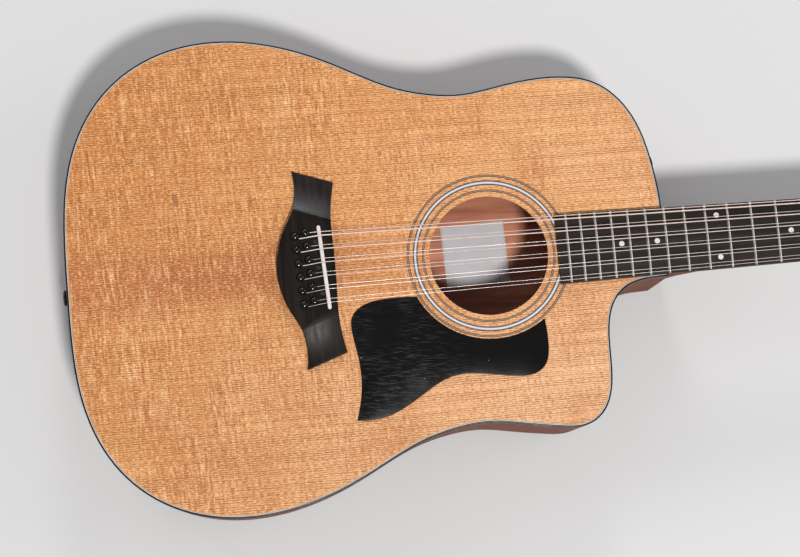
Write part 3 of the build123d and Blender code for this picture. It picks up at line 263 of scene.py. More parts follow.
def dark_wood(name, base, streak, axis="X", rough=0.42, spec=0.4, amount=0.5, wings=False):
    """Ebony or rosewood: nearly black, with brown streaks and open pores along one axis."""
    k = Mat(name, rough=rough, spec=spec)
    X, Y, Z = k.xyz()
    a, b = (X, Y) if axis == "X" else (Y, X)
    s = k.noise(k.vec(k.math("MULTIPLY", a, 7.0), k.math("MULTIPLY", b, 190.0), k.math("MULTIPLY", Z, 190.0)), 1.0, 4.0, 0.62, 0.5)
    w = k.noise(k.vec(k.math("MULTIPLY", a, 2.5), k.math("MULTIPLY", b, 34.0), k.math("MULTIPLY", Z, 30.0)), 1.0, 2.0, 0.5)
    col = k.mix(k.smooth(k.math("ADD", k.math("MULTIPLY", s, 0.7), k.math("MULTIPLY", w, 0.3)), 0.42, 0.68, 0.0, amount), base, streak)
    pore = k.noise(k.vec(k.math("MULTIPLY", a, 150.0), k.math("MULTIPLY", b, 1700.0), k.math("MULTIPLY", Z, 1700.0)), 1.0, 2.0, 0.6)
    col = k.mix(k.smooth(pore, 0.58, 0.72, 0.0, 0.6), col, tuple(c * 0.35 for c in base))
    k.to("Base Color", col)
    k.to("Roughness", k.smooth(s, 0.3, 0.7, rough - 0.06, rough + 0.08))
    if wings:
        # extra gloss past the wings' creases; not known wear
        turn = math.radians(19.7)
        past = k.math("ADD", k.math("MULTIPLY", k.math("SUBTRACT", X, (-26.0 + SX) * MM), math.sin(turn)),
                      k.math("MULTIPLY", k.math("SUBTRACT", Y, 0.0513), math.cos(turn)))
        worn = k.math("MULTIPLY", k.smooth(past, -0.0004, 0.0004), k.smooth(past, 0.026, 0.002, 0.15, 1.0))
        far = k.math("ADD", k.math("MULTIPLY", k.math("SUBTRACT", X, (-26.0 + SX) * MM), math.sin(turn)),
                     k.math("MULTIPLY", k.math("SUBTRACT", k.math("MULTIPLY", Y, -1.0), 0.0513), math.cos(turn)))
        shine = k.math("ADD", k.math("MULTIPLY", worn, 0.89), k.smooth(far, -0.0004, 0.0004, 0.0, 0.02))
        k.to("Specular IOR Level", k.math("ADD", shine, spec))
    k.bump(k.math("ADD", k.math("MULTIPLY", pore, -1.0), k.math("MULTIPLY", s, 0.35)), 0.2, 0.00012)
    return k.m


def metal(name, color, rough=0.12, wear=0.25, brushed=None):
    """Plated or plain metal with a faint haze of handling marks."""
    k = Mat(name, rough=rough, metal=1.0)
    n = k.noise(k.obj(), 140.0, 4.0, 0.6)
    fine = k.noise(k.obj(), 2200.0, 2.0, 0.6)
    if brushed:
        fine = k.noise(k.scaled(k.obj(), brushed), 1.0, 3.0, 0.6)
    k.to("Base Color", k.mix(k.smooth(n, 0.40, 0.75, 0.0, wear), color, tuple(c * 0.72 for c in color)))
    k.to("Roughness", k.smooth(k.math("ADD", k.math("MULTIPLY", n, 0.6), k.math("MULTIPLY", fine, 0.4)), 0.3, 0.75,
                               max(0.03, rough - 0.05), rough + 0.16))
    k.bump(fine, 0.04, 0.00005)
    return k.m


def plastic(name, color, rough=0.3, spec=0.5, grain=0.05, mottle=0.15, scale=900.0, coat=0.0):
    k = Mat(name, rough=rough, spec=spec, coat=coat, coat_rough=0.06)
    n = k.noise(k.obj(), 60.0, 4.0, 0.6)
    g = k.noise(k.obj(), scale, 3.0, 0.6)
    k.to("Base Color", k.mix(k.smooth(n, 0.35, 0.7, 0.0, mottle), color, tuple(min(1.0, c * 1.5 + 0.01) for c in color)))
    k.to("Roughness", k.smooth(n, 0.3, 0.7, max(0.04, rough - 0.05), rough + 0.08))
    k.bump(g, grain, 0.0001)
    return k.m


def guard_material():
    """Black sheet plastic, fine play scratches in curved sweeps, dust specks."""
    k = Mat("pickguard_black", rough=0.18, spec=0.16)
    X, Y, Z = k.xyz()
    base = (0.0042, 0.0038, 0.0038)
    col = base
    marks = None
    where = k.smooth(k.noise(k.scaled(k.obj(), (14.0, 30.0, 14.0)), 1.0, 2.0), 0.30, 0.50)
    side = k.smooth(X, (128 + SX) * MM, (52 + SX) * MM, 0.10, 1.0)
    area = k.math("MULTIPLY", where, side)
    for rot, sx, sy, lo, seed in ((0.10, 60.0, 1250.0, 0.600, 1.0), (0.22, 75.0, 1500.0, 0.620, 5.0), (-0.04, 55.0, 1050.0, 0.615, 9.0)):
        v = k.scaled(k.obj(), (1, 1, 1), rot)
        n = k.t.nodes.new("ShaderNodeSeparateXYZ")
        k.t.links.new(v, n.inputs[0])
        s = k.noise(k.vec(k.math("MULTIPLY", n.outputs[0], sx), k.math("MULTIPLY", n.outputs[1], sy), seed), 1.0, 1.5, 0.5)
        f = k.smooth(s, lo, lo + 0.05)
        marks = f if marks is None else k.math("MAXIMUM", marks, f)
    marks = k.math("MULTIPLY", marks, area)
    col = k.mix(k.math("MULTIPLY", marks, 0.22), base, (0.085, 0.082, 0.080))
    speck = k.voronoi(k.obj(), 150.0)
    sp = k.math("MULTIPLY", k.smooth(speck, 0.11, 0.05), k.smooth(k.noise(k.obj(), 75.0, 1.0), 0.60, 0.68))
    col = k.mix(k.math("MULTIPLY", sp, 0.7), col, (0.42, 0.41, 0.40))
    k.to("Base Color", col)
    haze = k.noise(k.obj(), 26.0, 4.0, 0.6)
    k.to("Roughness", k.math("ADD", k.smooth(haze, 0.3, 0.7, 0.16, 0.24), k.math("MULTIPLY", marks, 0.3)))
    k.bump(k.math("ADD", k.noise(k.obj(), 1600.0, 2.0), k.math("MULTIPLY", marks, -1.0)), 0.06, 0.0001)
    return k.m


def rosette_material():
    """Three inlaid rings round the hole, cut into fine dark, pale and dark lines."""
    k = Mat("rosette_rings", rough=0.34, spec=0.45)
    X, Y = k.xyz()[0], k.xyz()[1]
    dx = k.math("SUBTRACT", X, HOLE.x)
    r = k.math("SQRT", k.math("ADD", k.math("MULTIPLY", dx, dx), k.math("MULTIPLY", Y, Y)))
    f = k.math("MULTIPLY", k.math("SUBTRACT", r, 0.055), 1.0 / 0.0155)

    def at(mm):
        return max(0.0, min(1.0, (mm - 55.0) / 15.5))

    dk, gr, wh, wd = (0.042, 0.034, 0.032), (0.16, 0.135, 0.125), (0.60, 0.61, 0.66), (0.40, 0.22, 0.11)
    stops = [(0.0, dk), (at(55.65), wd), (at(56.25), dk), (at(58.5), dk), (at(61.35), gr), (at(61.85), wh), (at(63.4), gr),
             (at(63.85), dk), (at(66.0), dk), (at(68.45), wd), (at(69.1), dk)]
    col = k.ramp(f, stops, "CONSTANT")
    n = k.noise(k.obj(), 420.0, 3.0, 0.6)
    col = k.mix(k.smooth(n, 0.35, 0.75, 0.0, 0.22), col, (0.35, 0.28, 0.22))
    k.to("Base Color", col)
    k.bump(n, 0.05, 0.0001)
    return k.m


def paper():
    """Blank label paper: fine fibre, slightly yellowed and foxed at its edges."""
    k = Mat("label_paper", rough=0.75, spec=0.25)
    X, Y = k.xyz()[0], k.xyz()[1]
    lx, ly = k.math("SUBTRACT", X, (137.3 + SX) * MM), k.math("SUBTRACT", Y, 16.6 * MM)
    edge = k.math("MAXIMUM", k.math("MULTIPLY", k.math("ABSOLUTE", lx), 1 / 0.0285), k.math("MULTIPLY", k.math("ABSOLUTE", ly), 1 / 0.028))
    fib = k.noise(k.obj(), 900.0, 4.0, 0.65)
    blot = k.noise(k.obj(), 45.0, 3.0, 0.6)
    col = k.mix(k.smooth(blot, 0.35, 0.7, 0.0, 0.5), (0.66, 0.64, 0.68), (0.60, 0.57, 0.58))
    col = k.mix(k.math("MULTIPLY", fib, 0.12), col, (0.50, 0.47, 0.46))
    col = k.mix(k.smooth(edge, 0.90, 1.0, 0.0, 0.35), col, (0.46, 0.40, 0.34))
    k.to("Base Color", col)
    k.bump(fib, 0.15, 0.0001)
    return k.m


def pearl():
    k = Mat("pearl_dot", rough=0.22, spec=0.6)
    n = k.noise(k.obj(), 520.0, 3.0, 0.6, 1.2)
    k.to("Base Color", k.ramp(n, [(0.25, (0.50, 0.52, 0.52)), (0.5, (0.66, 0.66, 0.65)), (0.75, (0.62, 0.56, 0.58))]))
    k.bump(n, 0.05, 0.0001)
    return k.m


def bone():
    k = Mat("bone_ivory", rough=0.42, spec=0.35)
    n = k.noise(k.obj(), 90.0, 4.0, 0.6)
    f = k.noise(k.scaled(k.obj(), (1800.0, 180.0, 1800.0)), 1.0, 2.0, 0.6)
    col = k.ramp(n, [(0.3, (0.62, 0.55, 0.52)), (0.7, (0.72, 0.66, 0.64))])
    col = k.mix(k.smooth(f, 0.60, 0.75, 0.0, 0.30), col, (0.50, 0.42, 0.30))
    k.to("Base Color", col)
    k.b.inputs["Subsurface Weight"].default_value = 0.12
    k.b.inputs["Subsurface Scale"].default_value = 0.001
    k.bump(f, 0.10, 0.0001)
    return k.m


def string_metal(name, color, wound, rough=0.24):
    k = Mat(name, rough=rough, metal=0.55)
    X = k.xyz()[0]
    n = k.noise(k.obj(), 160.0, 3.0, 0.6)
    k.to("Base Color", k.mix(k.smooth(n, 0.35, 0.7, 0.0, 0.35), color, tuple(c * 0.66 for c in color)))
    if wound:
        w = k.math("SINE", k.math("MULTIPLY", X, 2 * math.pi / 0.00042))
        k.bump(w, 0.6, 0.00008)
    else:
        k.bump(n, 0.05, 0.0001)
    return k.m


def inside_wood():
    k = Mat("bare_wood", rough=0.62, spec=0.3)
    X, Y, Z = k.xyz()
    n = k.noise(k.vec(k.math("MULTIPLY", X, 18.0), k.math("MULTIPLY", Y, 260.0), k.math("MULTIPLY", Z, 260.0)), 1.0, 3.0, 0.6)
    k.to("Base Color", k.ramp(n, [(0.3, (0.42, 0.25, 0.12)), (0.7, (0.60, 0.40, 0.22))]))
    k.bump(n, 0.2, 0.0002)
    return k.m


SPRUCE = spruce()
SIDE_WOOD = brown_wood("sapele_satin", (0.120, 0.036, 0.019), (0.200, 0.068, 0.040), (0.300, 0.110, 0.066), "X", 0.42, 0.0, spec=0.01)
BACK_WOOD = brown_wood("sapele_back", (0.125, 0.038, 0.018), (0.205, 0.068, 0.034), (0.300, 0.110, 0.058), "X", 0.34, 0.15, bare=True)
NECK_WOOD = brown_wood("mahogany_satin", (0.160, 0.048, 0.026), (0.240, 0.078, 0.042), (0.320, 0.115, 0.064), "X", 0.44, 0.0, 0.7, spec=0.01)
EBONY = dark_wood("bridge_ebony", (0.0056, 0.0040, 0.0032), (0.024, 0.014, 0.009), "Y", 0.40, 0.11, 0.55, True)
BOARD = dark_wood("board_rosewood", (0.0135, 0.0100, 0.0085), (0.048, 0.030, 0.021), "X", 0.50, 0.12, 0.6)
OVERLAY = dark_wood("headstock_ebony", (0.016, 0.011, 0.009), (0.055, 0.033, 0.022), "X", 0.30, 0.5, 0.5)
BLACK = plastic("binding_black", (0.008, 0.008, 0.0085), 0.26, 0.3, 0.02, 0.1)
PIN_BLACK = plastic("pin_black", (0.0020, 0.0018, 0.0018), 0.12, 0.5, 0.01, 0.1)
CASE = plastic("case_black", (0.020, 0.020, 0.021), 0.42, 0.5, 0.25, 0.2, 2400.0)
KNOB = plastic("knob_black", (0.016, 0.016, 0.017), 0.48, 0.45, 0.3, 0.2, 2600.0)
WHITE_LINE = plastic("purfling_ivory", (0.62, 0.60, 0.60), 0.35, 0.45, 0.02, 0.3)
PALE_LINE = plastic("purfling_wood", (0.62, 0.33, 0.16), 0.42, 0.35, 0.05, 0.5, 1500.0)
GREY_LINE = plastic("purfling_dark", (0.030, 0.026, 0.026), 0.35, 0.45, 0.02, 0.2)
DARK_PLATE = metal("dark_plating", (0.12, 0.115, 0.115), 0.22, 0.3)
GUARD = guard_material()
ROSETTE = rosette_material()
PAPER = paper()
PEARL = pearl()
BONE = bone()
INNER = inside_wood()
CHROME = metal("chrome", (0.80, 0.80, 0.82), 0.07, 0.15)
NICKEL = metal("fret_nickel", (0.74, 0.72, 0.68), 0.16, 0.2)
STEEL = metal("plain_steel", (0.55, 0.54, 0.53), 0.30, 0.35)
SCREW = metal("old_screw", (0.050, 0.044, 0.040), 0.40, 0.5)
BRONZE_WIRE = string_metal("string_bronze", (0.98, 0.80, 0.72), True, 0.36)
STEEL_WIRE = string_metal("string_steel", (0.94, 0.86, 0.83), False, 0.34)

USE = {
    "soundboard": SPRUCE, "back_plate": BACK_WOOD, "sides": SIDE_WOOD, "binding": BLACK, "purfling": WHITE_LINE,
    "linings": INNER, "neck_block": INNER, "tail_block": INNER, "top_braces": INNER, "rosette": ROSETTE,
    "soundhole_label": PAPER, "pickguard": GUARD, "bridge": EBONY, "saddle": BONE, "nut": BONE,
    "bridge_pins": PIN_BLACK, "pickup_screws": SCREW, "neck": NECK_WOOD, "fingerboard": BOARD, "frets": NICKEL,
    "position_dots": PEARL, "truss_rod": STEEL, "truss_rod_cover": BLACK, "headstock_overlay": OVERLAY,
    "tuner_housings": CHROME, "tuner_bushings": CHROME, "strings": STEEL_WIRE, "endpin_jack": DARK_PLATE,
    "strap_button": CHROME, "battery_box": CASE, "preamp": CASE, "fasteners": STEEL, "battery_drawer": CASE,
    "volume_knob": KNOB, "treble_knob": KNOB, "bass_knob": KNOB,
}
for name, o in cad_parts.items():
    m = USE.get(name, CHROME)
    o.data.materials.clear()
    o.data.materials.append(m)


# ------------------------------------------------------------------ mesh helpers
def new_object(name, verts, faces, material, smooth=True, angle=None):
    me = bpy.data.meshes.new(name)
    me.from_pydata([tuple(v) for v in verts], [], faces)
    me.validate()
    me.update()
    o = bpy.data.objects.new(name, me)
    COL.objects.link(o)
    me.materials.append(material)
    for p in me.polygons:
        p.use_smooth = smooth
    if angle is not None:
        sharpen(me, angle)
    return o


def sharpen(me, angle):
    """Marks edges sharper than an angle, so that flat faces stay flat under smooth shading."""
    bm = bmesh.new()
    bm.from_mesh(me)
    for f in bm.faces:
        f.smooth = True
    for e in bm.edges:
        if len(e.link_faces) == 2 and e.calc_face_angle(0.0) > math.radians(angle):
            e.smooth = False
    bm.to_mesh(me)
    bm.free()


def softened(node, width, segments=2, angle=30.0, name=None, body="guitar"):
    """A copy of a CAD node with its sharp edges rounded over, shown in its place."""
    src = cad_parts[node]
    me = src.data.copy()
    me.name = (name or node) + "_soft"
    o = bpy.data.objects.new((name or node) + "_soft", me)
    COL.objects.link(o)
    bm = bmesh.new()
    bm.from_mesh(me)
    bmesh.ops.remove_doubles(bm, verts=bm.verts, dist=2e-6)
    bmesh.ops.dissolve_limit(bm, angle_limit=math.radians(0.6), verts=bm.verts, edges=bm.edges)
    edges = [e for e in bm.edges if len(e.link_faces) == 2 and e.calc_face_angle(0.0) > math.radians(angle)]
    bmesh.ops.bevel(bm, geom=edges, offset=width * MM, segments=segments, profile=0.5, affect="EDGES",
                    clamp_overlap=True)
    bmesh.ops.triangulate(bm, faces=[f for f in bm.faces if len(f.verts) > 4])
    bm.to_mesh(me)
    bm.free()
    sharpen(me, 38.0)
    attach(o, body)
    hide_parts(node)
    return o


def lathe(profile, segments=32):
    """Vertices and faces of a profile of (radius, height) pairs turned about Z."""
    verts, faces = [], []
    rings = []
    for r, h in profile:
        if r < 1e-7:
            rings.append([len(verts)])
            verts.append((0, 0, h))
        else:
            rings.append(list(range(len(verts), len(verts) + segments)))
            verts += [(r * math.cos(2 * math.pi * i / segments), r * math.sin(2 * math.pi * i / segments), h)
                      for i in range(segments)]
    for a, b in zip(rings, rings[1:]):
        for i in range(segments):
            j = (i + 1) % segments
            if len(a) == 1 and len(b) == 1:
                continue
            if len(a) == 1:
                faces.append((a[0], b[j], b[i]))
            elif len(b) == 1:
                faces.append((a[i], a[j], b[0]))
            else:
                faces.append((a[i], a[j], b[j], b[i]))
    return verts, faces


def tube(points, radius, segments=10, cap=True):
    """A round tube along points."""
    verts, faces = [], []
    pts = [Vector(p) for p in points]
    up = Vector((0, 0, 1))
    t0 = (pts[1] - pts[0]).normalized()
    u = t0.cross(up)
    u = u.normalized() if u.length > 1e-4 else Vector((1, 0, 0))
    prev = t0
    for i, p in enumerate(pts):
        if i == 0:
            t = t0
        elif i == len(pts) - 1:
            t = (pts[i] - pts[i - 1]).normalized()
        else:
            t = ((pts[i + 1] - pts[i]).normalized() + (pts[i] - pts[i - 1]).normalized()).normalized()
        q = prev.rotation_difference(t)
        u = (q @ u).normalized()
        w = t.cross(u)
        prev = t
        for s in range(segments):
            a = 2 * math.pi * s / segments
            verts.append(p + (u * math.cos(a) + w * math.sin(a)) * radius)
    n = len(pts)
    for i in range(n - 1):
        for s in range(segments):
            s2 = (s + 1) % segments
            faces.append((i * segments + s, i * segments + s2, (i + 1) * segments + s2, (i + 1) * segments + s))
    if cap:
        faces.append(tuple(range(segments - 1, -1, -1)))
        faces.append(tuple((n - 1) * segments + s for s in range(segments)))
    return verts, faces


def P(u, v, w):
    return Vector((u + SX, v, w + TZ)) * MM


# ------------------------------------------------------------------ floor, light, camera
def build_stage():
    me = bpy.data.meshes.new("floor")
    s = 6.0
    me.from_pydata([(-s, -s, -0.0005), (s, -s, -0.0005), (s, s, -0.0005), (-s, s, -0.0005)], [], [(0, 1, 2, 3)])
    floor = bpy.data.objects.new("floor", me)
    COL.objects.link(floor)
    k = Mat("pale_floor", rough=0.85, spec=0.2)
    n = k.noise(k.obj(), 3.0, 3.0, 0.5)
    k.to("Base Color", k.mix(k.smooth(n, 0.3, 0.7, 0.0, 0.3), (0.62, 0.62, 0.62), (0.60, 0.60, 0.605)))
    me.materials.append(k.m)


def area(name, loc, target, size, energy, color=(1, 1, 1)):
    d = bpy.data.lights.new(name, "AREA")
    d.shape = "DISK"
    d.size = size
    d.energy = energy
    d.color = color
    o = bpy.data.objects.new(name, d)
    o.location = loc
    o.rotation_mode = "QUATERNION"
    o.rotation_quaternion = (Vector(target) - Vector(loc)).to_track_quat("-Z", "Y")
    COL.objects.link(o)
    return o


build_stage()
key_dir = Vector((0.065, -0.38, 0.92)).normalized()
area("key", HOLE + key_dir * 4.0, HOLE, 0.46, 134.0, (1.0, 0.985, 0.965))
area("upper_right", HOLE + Vector((0.02, 0.83, 0.56)).normalized() * 3.0, HOLE, 0.70, 18.0)
area("fill_left", Vector((-1.6, 1.6, 2.2)), Vector((-0.1, 0, 0.1)), 1.8, 9.0, (0.96, 0.98, 1.0))
area("fill_right", Vector((2.0, 0.2, 1.8)), Vector((0.1, 0, 0.1)), 1.6, 9.0)
world = bpy.data.worlds.new("studio")
world.use_nodes = True
world.node_tree.nodes["Background"].inputs[0].default_value = (0.92, 0.95, 1.0, 1.0)
world.node_tree.nodes["Background"].inputs[1].default_value = 0.30
bpy.context.scene.world = world

cam = bpy.data.cameras.new("camera")
cam.lens = 1995.96 * 36.0 / 800.0
cam.sensor_width = 36.0
cam.clip_start, cam.clip_end = 0.05, 50.0
cam_o = bpy.data.objects.new("camera", cam)
COL.objects.link(cam_o)
rot = Matrix(((0.9941047, 0.0806823, -0.0724303), (-0.089373, 0.9879837, -0.1260979), (0.0613861, 0.1318278, 0.9893701)))
cam_o.matrix_world = Matrix.Translation(Vector((-62.3219 + SX, -225.9696, 1666.9913 + TZ)) * MM) @ rot.to_4x4()
bpy.context.scene.camera = cam_o
bpy.context.scene.view_settings.view_transform = "Standard"
bpy.context.scene.view_settings.look = "None"


# ------------------------------------------------------------------ edge strips: binding and purfling lines
def top_loops(node, z, down=False):
    """Ordered boundary loops of a CAD node's faces that lie at height z (or of its downward faces)."""
    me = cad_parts[node].data
    bm = bmesh.new()
    bm.from_mesh(me)
    bmesh.ops.remove_doubles(bm, verts=bm.verts, dist=2e-6)
    if down:
        flat = {f for f in bm.faces if f.normal.z < -0.9}
    else:
        flat = {f for f in bm.faces if f.normal.z > 0.9 and abs(f.calc_center_median().z - z) < 2e-5}
    nxt = {}
    for f in flat:
        for loop in f.loops:
            e = loop.edge
            if sum(1 for g in e.link_faces if g in flat) == 1:
                nxt[loop.vert.index] = loop.link_loop_next.vert.index
    co = {v.index: v.co.copy() for v in bm.verts}
    bm.free()
    loops = []
    while nxt:
        a = min(nxt)
        chain = [a]
        b = nxt.pop(a)
        while b != a and b in nxt:
            chain.append(b)
            b = nxt.pop(b)
        loops.append([co[i] for i in chain])
    loops.sort(key=lambda l: -loop_area(l))
    return loops


def loop_area(l):
    return abs(sum(p.x * q.y - q.x * p.y for p, q in zip(l, l[1:] + l[:1]))) / 2


def tidy_loop(l):
    """The loop anticlockwise, without repeated points."""
    a = sum(p.x * q.y - q.x * p.y for p, q in zip(l, l[1:] + l[:1]))
    if a < 0:
        l = l[::-1]
    out = [l[0]]
    for p in l[1:]:
        if (p - out[-1]).length > 2e-4:
            out.append(p)
    if (out[0] - out[-1]).length < 2e-4:
        out.pop()
    return out


def inset(l, d):
    """The anticlockwise loop offset inwards by d in plan."""
    n = len(l)
    out = []
    for i in range(n):
        a, b, c = l[i - 1], l[i], l[(i + 1) % n]
        e1 = Vector((b.x - a.x, b.y - a.y)).normalized()
        e2 = Vector((c.x - b.x, c.y - b.y)).normalized()
        m = Vector((-(e1.y + e2.y), e1.x + e2.x))
        k = 2.0 / max(m.length_squared, 1.0)
        out.append(Vector((b.x + m.x * k * d, b.y + m.y * k * d, b.z)))
    return out


def sweep_ring(name, l, profile, material, angle=35.0):
    """A closed ring whose section is profile, a list of (inset, height) in mm, swept round a loop."""
    n, m = len(l), len(profile)
    verts, faces = [], []
    for d, h in profile:
        verts += [p + Vector((0, 0, h * MM)) for p in inset(l, d * MM)]
    for j in range(m):
        k = (j + 1) % m
        for i in range(n):
            i2 = (i + 1) % n
            faces.append((j * n + i, j * n + i2, k * n + i2, k * n + i))
    o = new_object(name, verts, faces, material, True, angle)
    bm = bmesh.new()
    bm.from_mesh(o.data)
    bmesh.ops.recalc_face_normals(bm, faces=bm.faces)
    bm.to_mesh(o.data)
    bm.free()
    return o


def rounded_edge(w, h, r, sign, n=5):
    """Section of a strip w wide and h tall with its outer corner rounded; sign is -1 below the face, +1 above it."""
    pts = [(0.0, sign * h)]
    for i in range(n + 1):
        a = math.pi / 2 * i / n
        pts.append((r * (1 - math.cos(a)), sign * r * (1 - math.sin(a))))
    return pts + [(w, 0.0), (w, sign * h)]


outer = tidy_loop(top_loops("binding", TZ * MM)[0])
o = sweep_ring("binding_top", outer, rounded_edge(1.6, 5.5, 0.85, -1), BLACK)
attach(o, "guitar")
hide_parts("binding")
low = tidy_loop(top_loops("binding", 0, down=True)[0])
o = sweep_ring("binding_back", low, rounded_edge(1.6, 5.5, 0.85, 1), BLACK)
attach(o, "guitar")
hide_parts("binding")
for name, a, b, m in (("purfling_white", 1.6, 2.02, WHITE_LINE), ("purfling_black", 2.02, 2.36, GREY_LINE),
                      ("purfling_pale", 2.36, 2.9, PALE_LINE)):
    o = sweep_ring(name, outer, [(a, -1.2), (a, 0.0), (b, 0.0), (b, -1.2)], m)
    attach(o, "guitar")
    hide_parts("purfling")

# ------------------------------------------------------------------ strings
GAUGE = [0.69, 1.19, 0.46, 0.99, 0.32, 0.76, 0.26, 0.58, 0.36, 0.36, 0.28, 0.28]
PINS_FRONT = [(-17.0, 30.3), (-16.5, 18.7), (-16.0, 7.1), (-15.4, -4.5), (-14.8, -16.1), (-14.2, -27.7)]
PINS_REAR = [(-26.0, 27.7), (-25.4, 16.1), (-24.8, 4.5), (-24.1, -7.1), (-23.5, -18.7), (-22.9, -30.3)]
PINS = [p for pair in zip(PINS_FRONT, PINS_REAR) for p in pair]
WOUND = {0, 1, 2, 3, 5, 7}
STRING_POST = [0, 1, 2, 3, 4, 5, 11, 10, 9, 8, 7, 6]
BOARD_R, SADDLE_U, SADDLE_TOP, SADDLE_ANG = 381.0, -3.7, 12.0, math.atan2(4.1, 70.6)
STRING_LOW, BRIDGE_H, WIND_N, POST_R = 8.35, 8.5, 7.8, 3.0
GEAR_N, WORM_C, BUTTON_X, BACK_N = -20.0, 6.2, 14.5, -15.0
SADDLE_GAP, PIN_HEAD_R = 0.24, 3.5
tilt = math.radians(14.0)
S_DIR, N_DIR = Vector((math.cos(tilt), 0, -math.sin(tilt))), Vector((math.sin(tilt), 0, math.cos(tilt)))
POSTS = [(30 + 25.2 * k, 27.0 + 0.5 * k, 1) for k in range(6)] + [(30 + 25.2 * k, -(27.0 + 0.5 * k), -1) for k in range(6)]


def H(s, y, n):
    v = S_DIR * s + N_DIR * n
    return P(652.7 + v.x, y, 1.0 + v.z)


def course_y(i, pitch, gap):
    c, first = divmod(i, 2)
    return (2.5 - c) * pitch + (gap / 2 if first == 0 else -gap / 2)


def string_points(i):
    r = GAUGE[i] / 2
    pu, pv = PINS[i]
    ys, yn = course_y(i, 11.4, 3.2), course_y(i, 8.28, 2.4)
    us = SADDLE_U - math.tan(SADDLE_ANG) * ys
    zs = BOARD_R - math.sqrt(BOARD_R ** 2 - ys * ys)
    zn = BOARD_R - math.sqrt(BOARD_R ** 2 - yn * yn)
    fu, fv = PINS[i - i % 2]
    for turn in range(60):
        a = math.radians(turn)
        k = PIN_HEAD_R + 0.12 + r * (math.sin(a) + 0.35)
        b = math.atan2(ys - pv, us - pu) - a
        su, sv = pu + k * math.cos(b), pv + k * math.sin(b)
        miss = abs((us - su) * (fv - sv) - (ys - sv) * (fu - su)) / math.hypot(us - su, ys - sv)
        if i % 2 == 0 or miss >= PIN_HEAD_R + r + 0.12:
            break
    p0 = P(su, sv, BRIDGE_H + r + 0.1)
    p1 = P(us, ys, SADDLE_TOP - zs + r + SADDLE_GAP)
    p2 = P(SCALE + 0.5, yn, STRING_LOW - zn + r)
    s, y, side = POSTS[STRING_POST[i]]
    return [p0, p1, p2, H(s, y - side * (POST_R + r + 0.08), WIND_N + r + 0.1)]


def rounded_path(pts, radius=3.0, n=6):
    """The polyline with each corner replaced by a short quadratic bend."""
    out = [pts[0]]
    for a, b, c in zip(pts, pts[1:], pts[2:]):
        d1, d2 = (a - b).normalized(), (c - b).normalized()
        turn = math.pi - d1.angle(d2)
        t = min(radius * MM * math.tan(turn / 2), (a - b).length * 0.4, (c - b).length * 0.4)
        p, q = b + d1 * t, b + d2 * t
        for i in range(n + 1):
            k = i / n
            out.append(p * (1 - k) ** 2 + b * 2 * k * (1 - k) + q * k ** 2)
    out.append(pts[-1])
    return out


for i in range(12):
    pts = rounded_path(string_points(i))
    full = [pts[0]]
    for p in pts[1:]:
        steps = max(1, int((p - full[-1]).length / 0.04))
        base = full[-1]
        full += [base + (p - base) * (j + 1) / steps for j in range(steps)]
    v, f = tube(full, GAUGE[i] / 2 * MM, 14)
    o = new_object(f"string_{i + 1:02d}", v, f, BRONZE_WIRE if i in WOUND else STEEL_WIRE, True, 50)
    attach(o, "guitar")
    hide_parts("strings")


# ------------------------------------------------------------------ bridge, pins, saddle, pickguard
def merged(name, parts, material, smooth_angle=35.0):
    """One object from several (vertices, faces, matrix) sets."""
    verts, faces = [], []
    for v, f, m in parts:
        k = len(verts)
        verts += [m @ Vector(p) for p in v]
        faces += [tuple(i + k for i in q) for q in f]
    o = new_object(name, verts, faces, material, True, smooth_angle)
    return o


pin = [(0.0, -15.0), (2.1, -15.0), (2.25, -14.8), (2.55, 8.5), (2.62, 8.62), (2.9, 8.75), (3.15, 9.0), (3.38, 9.4), (3.5, 9.85), (3.5, 10.25),
       (3.38, 10.75), (3.13, 11.25), (2.75, 11.7), (2.2, 12.05), (1.55, 12.28), (0.8, 12.38), (0.0, 12.4)]
pv, pf = lathe([(r * MM, h * MM) for r, h in pin], 40)
o = merged("bridge_pins_fine", [(pv, pf, Matrix.Translation(P(u, v, 0))) for u, v in PINS], PIN_BLACK, 60)
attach(o, "guitar")
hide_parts("bridge_pins")


def saddle_axis(u, v):
    """Distance of a point from the saddle's centre line, mm."""
    return abs((u - SADDLE_U) * math.cos(SADDLE_ANG) + v * math.sin(SADDLE_ANG))


def row(p):
    return p.x / MM - SX, p.y / MM, p.z / MM - TZ


def soften_edges(node, width, keep, segments=3, name=None, body="guitar", material=None, merge=2e-6, angle=30.0, smooth=38.0):
    """Like a worn edge: rounds the edges of a CAD node for which keep(midpoint u, v, w, edge) is true."""
    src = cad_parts[node]
    me = src.data.copy()
    o = bpy.data.objects.new((name or node) + "_soft", me)
    COL.objects.link(o)
    bm = bmesh.new()
    bm.from_mesh(me)
    bmesh.ops.remove_doubles(bm, verts=bm.verts, dist=merge)
    bmesh.ops.dissolve_limit(bm, angle_limit=math.radians(0.4), verts=bm.verts, edges=bm.edges, delimit={"NORMAL"})
    picked = []
    for e in bm.edges:
        if len(e.link_faces) == 2 and e.calc_face_angle(0.0) > math.radians(angle):
            mid = (e.verts[0].co + e.verts[1].co) / 2
            if keep(*row(mid), e):
                picked.append(e)
    if picked:
        bmesh.ops.bevel(bm, geom=picked, offset=width * MM, segments=segments, profile=0.5, affect="EDGES", clamp_overlap=False,
                        loop_slide=True)
    bmesh.ops.triangulate(bm, faces=[f for f in bm.faces if len(f.verts) > 4])
    bm.to_mesh(me)
    bm.free()
    if material is not None:
        me.materials.clear()
        me.materials.append(material)
    sharpen(me, smooth)
    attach(o, body)
    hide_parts(node)
    return o


SCREWS = [(-9.0, 22.2), (-8.0, 0.2), (-6.6, -21.8)]


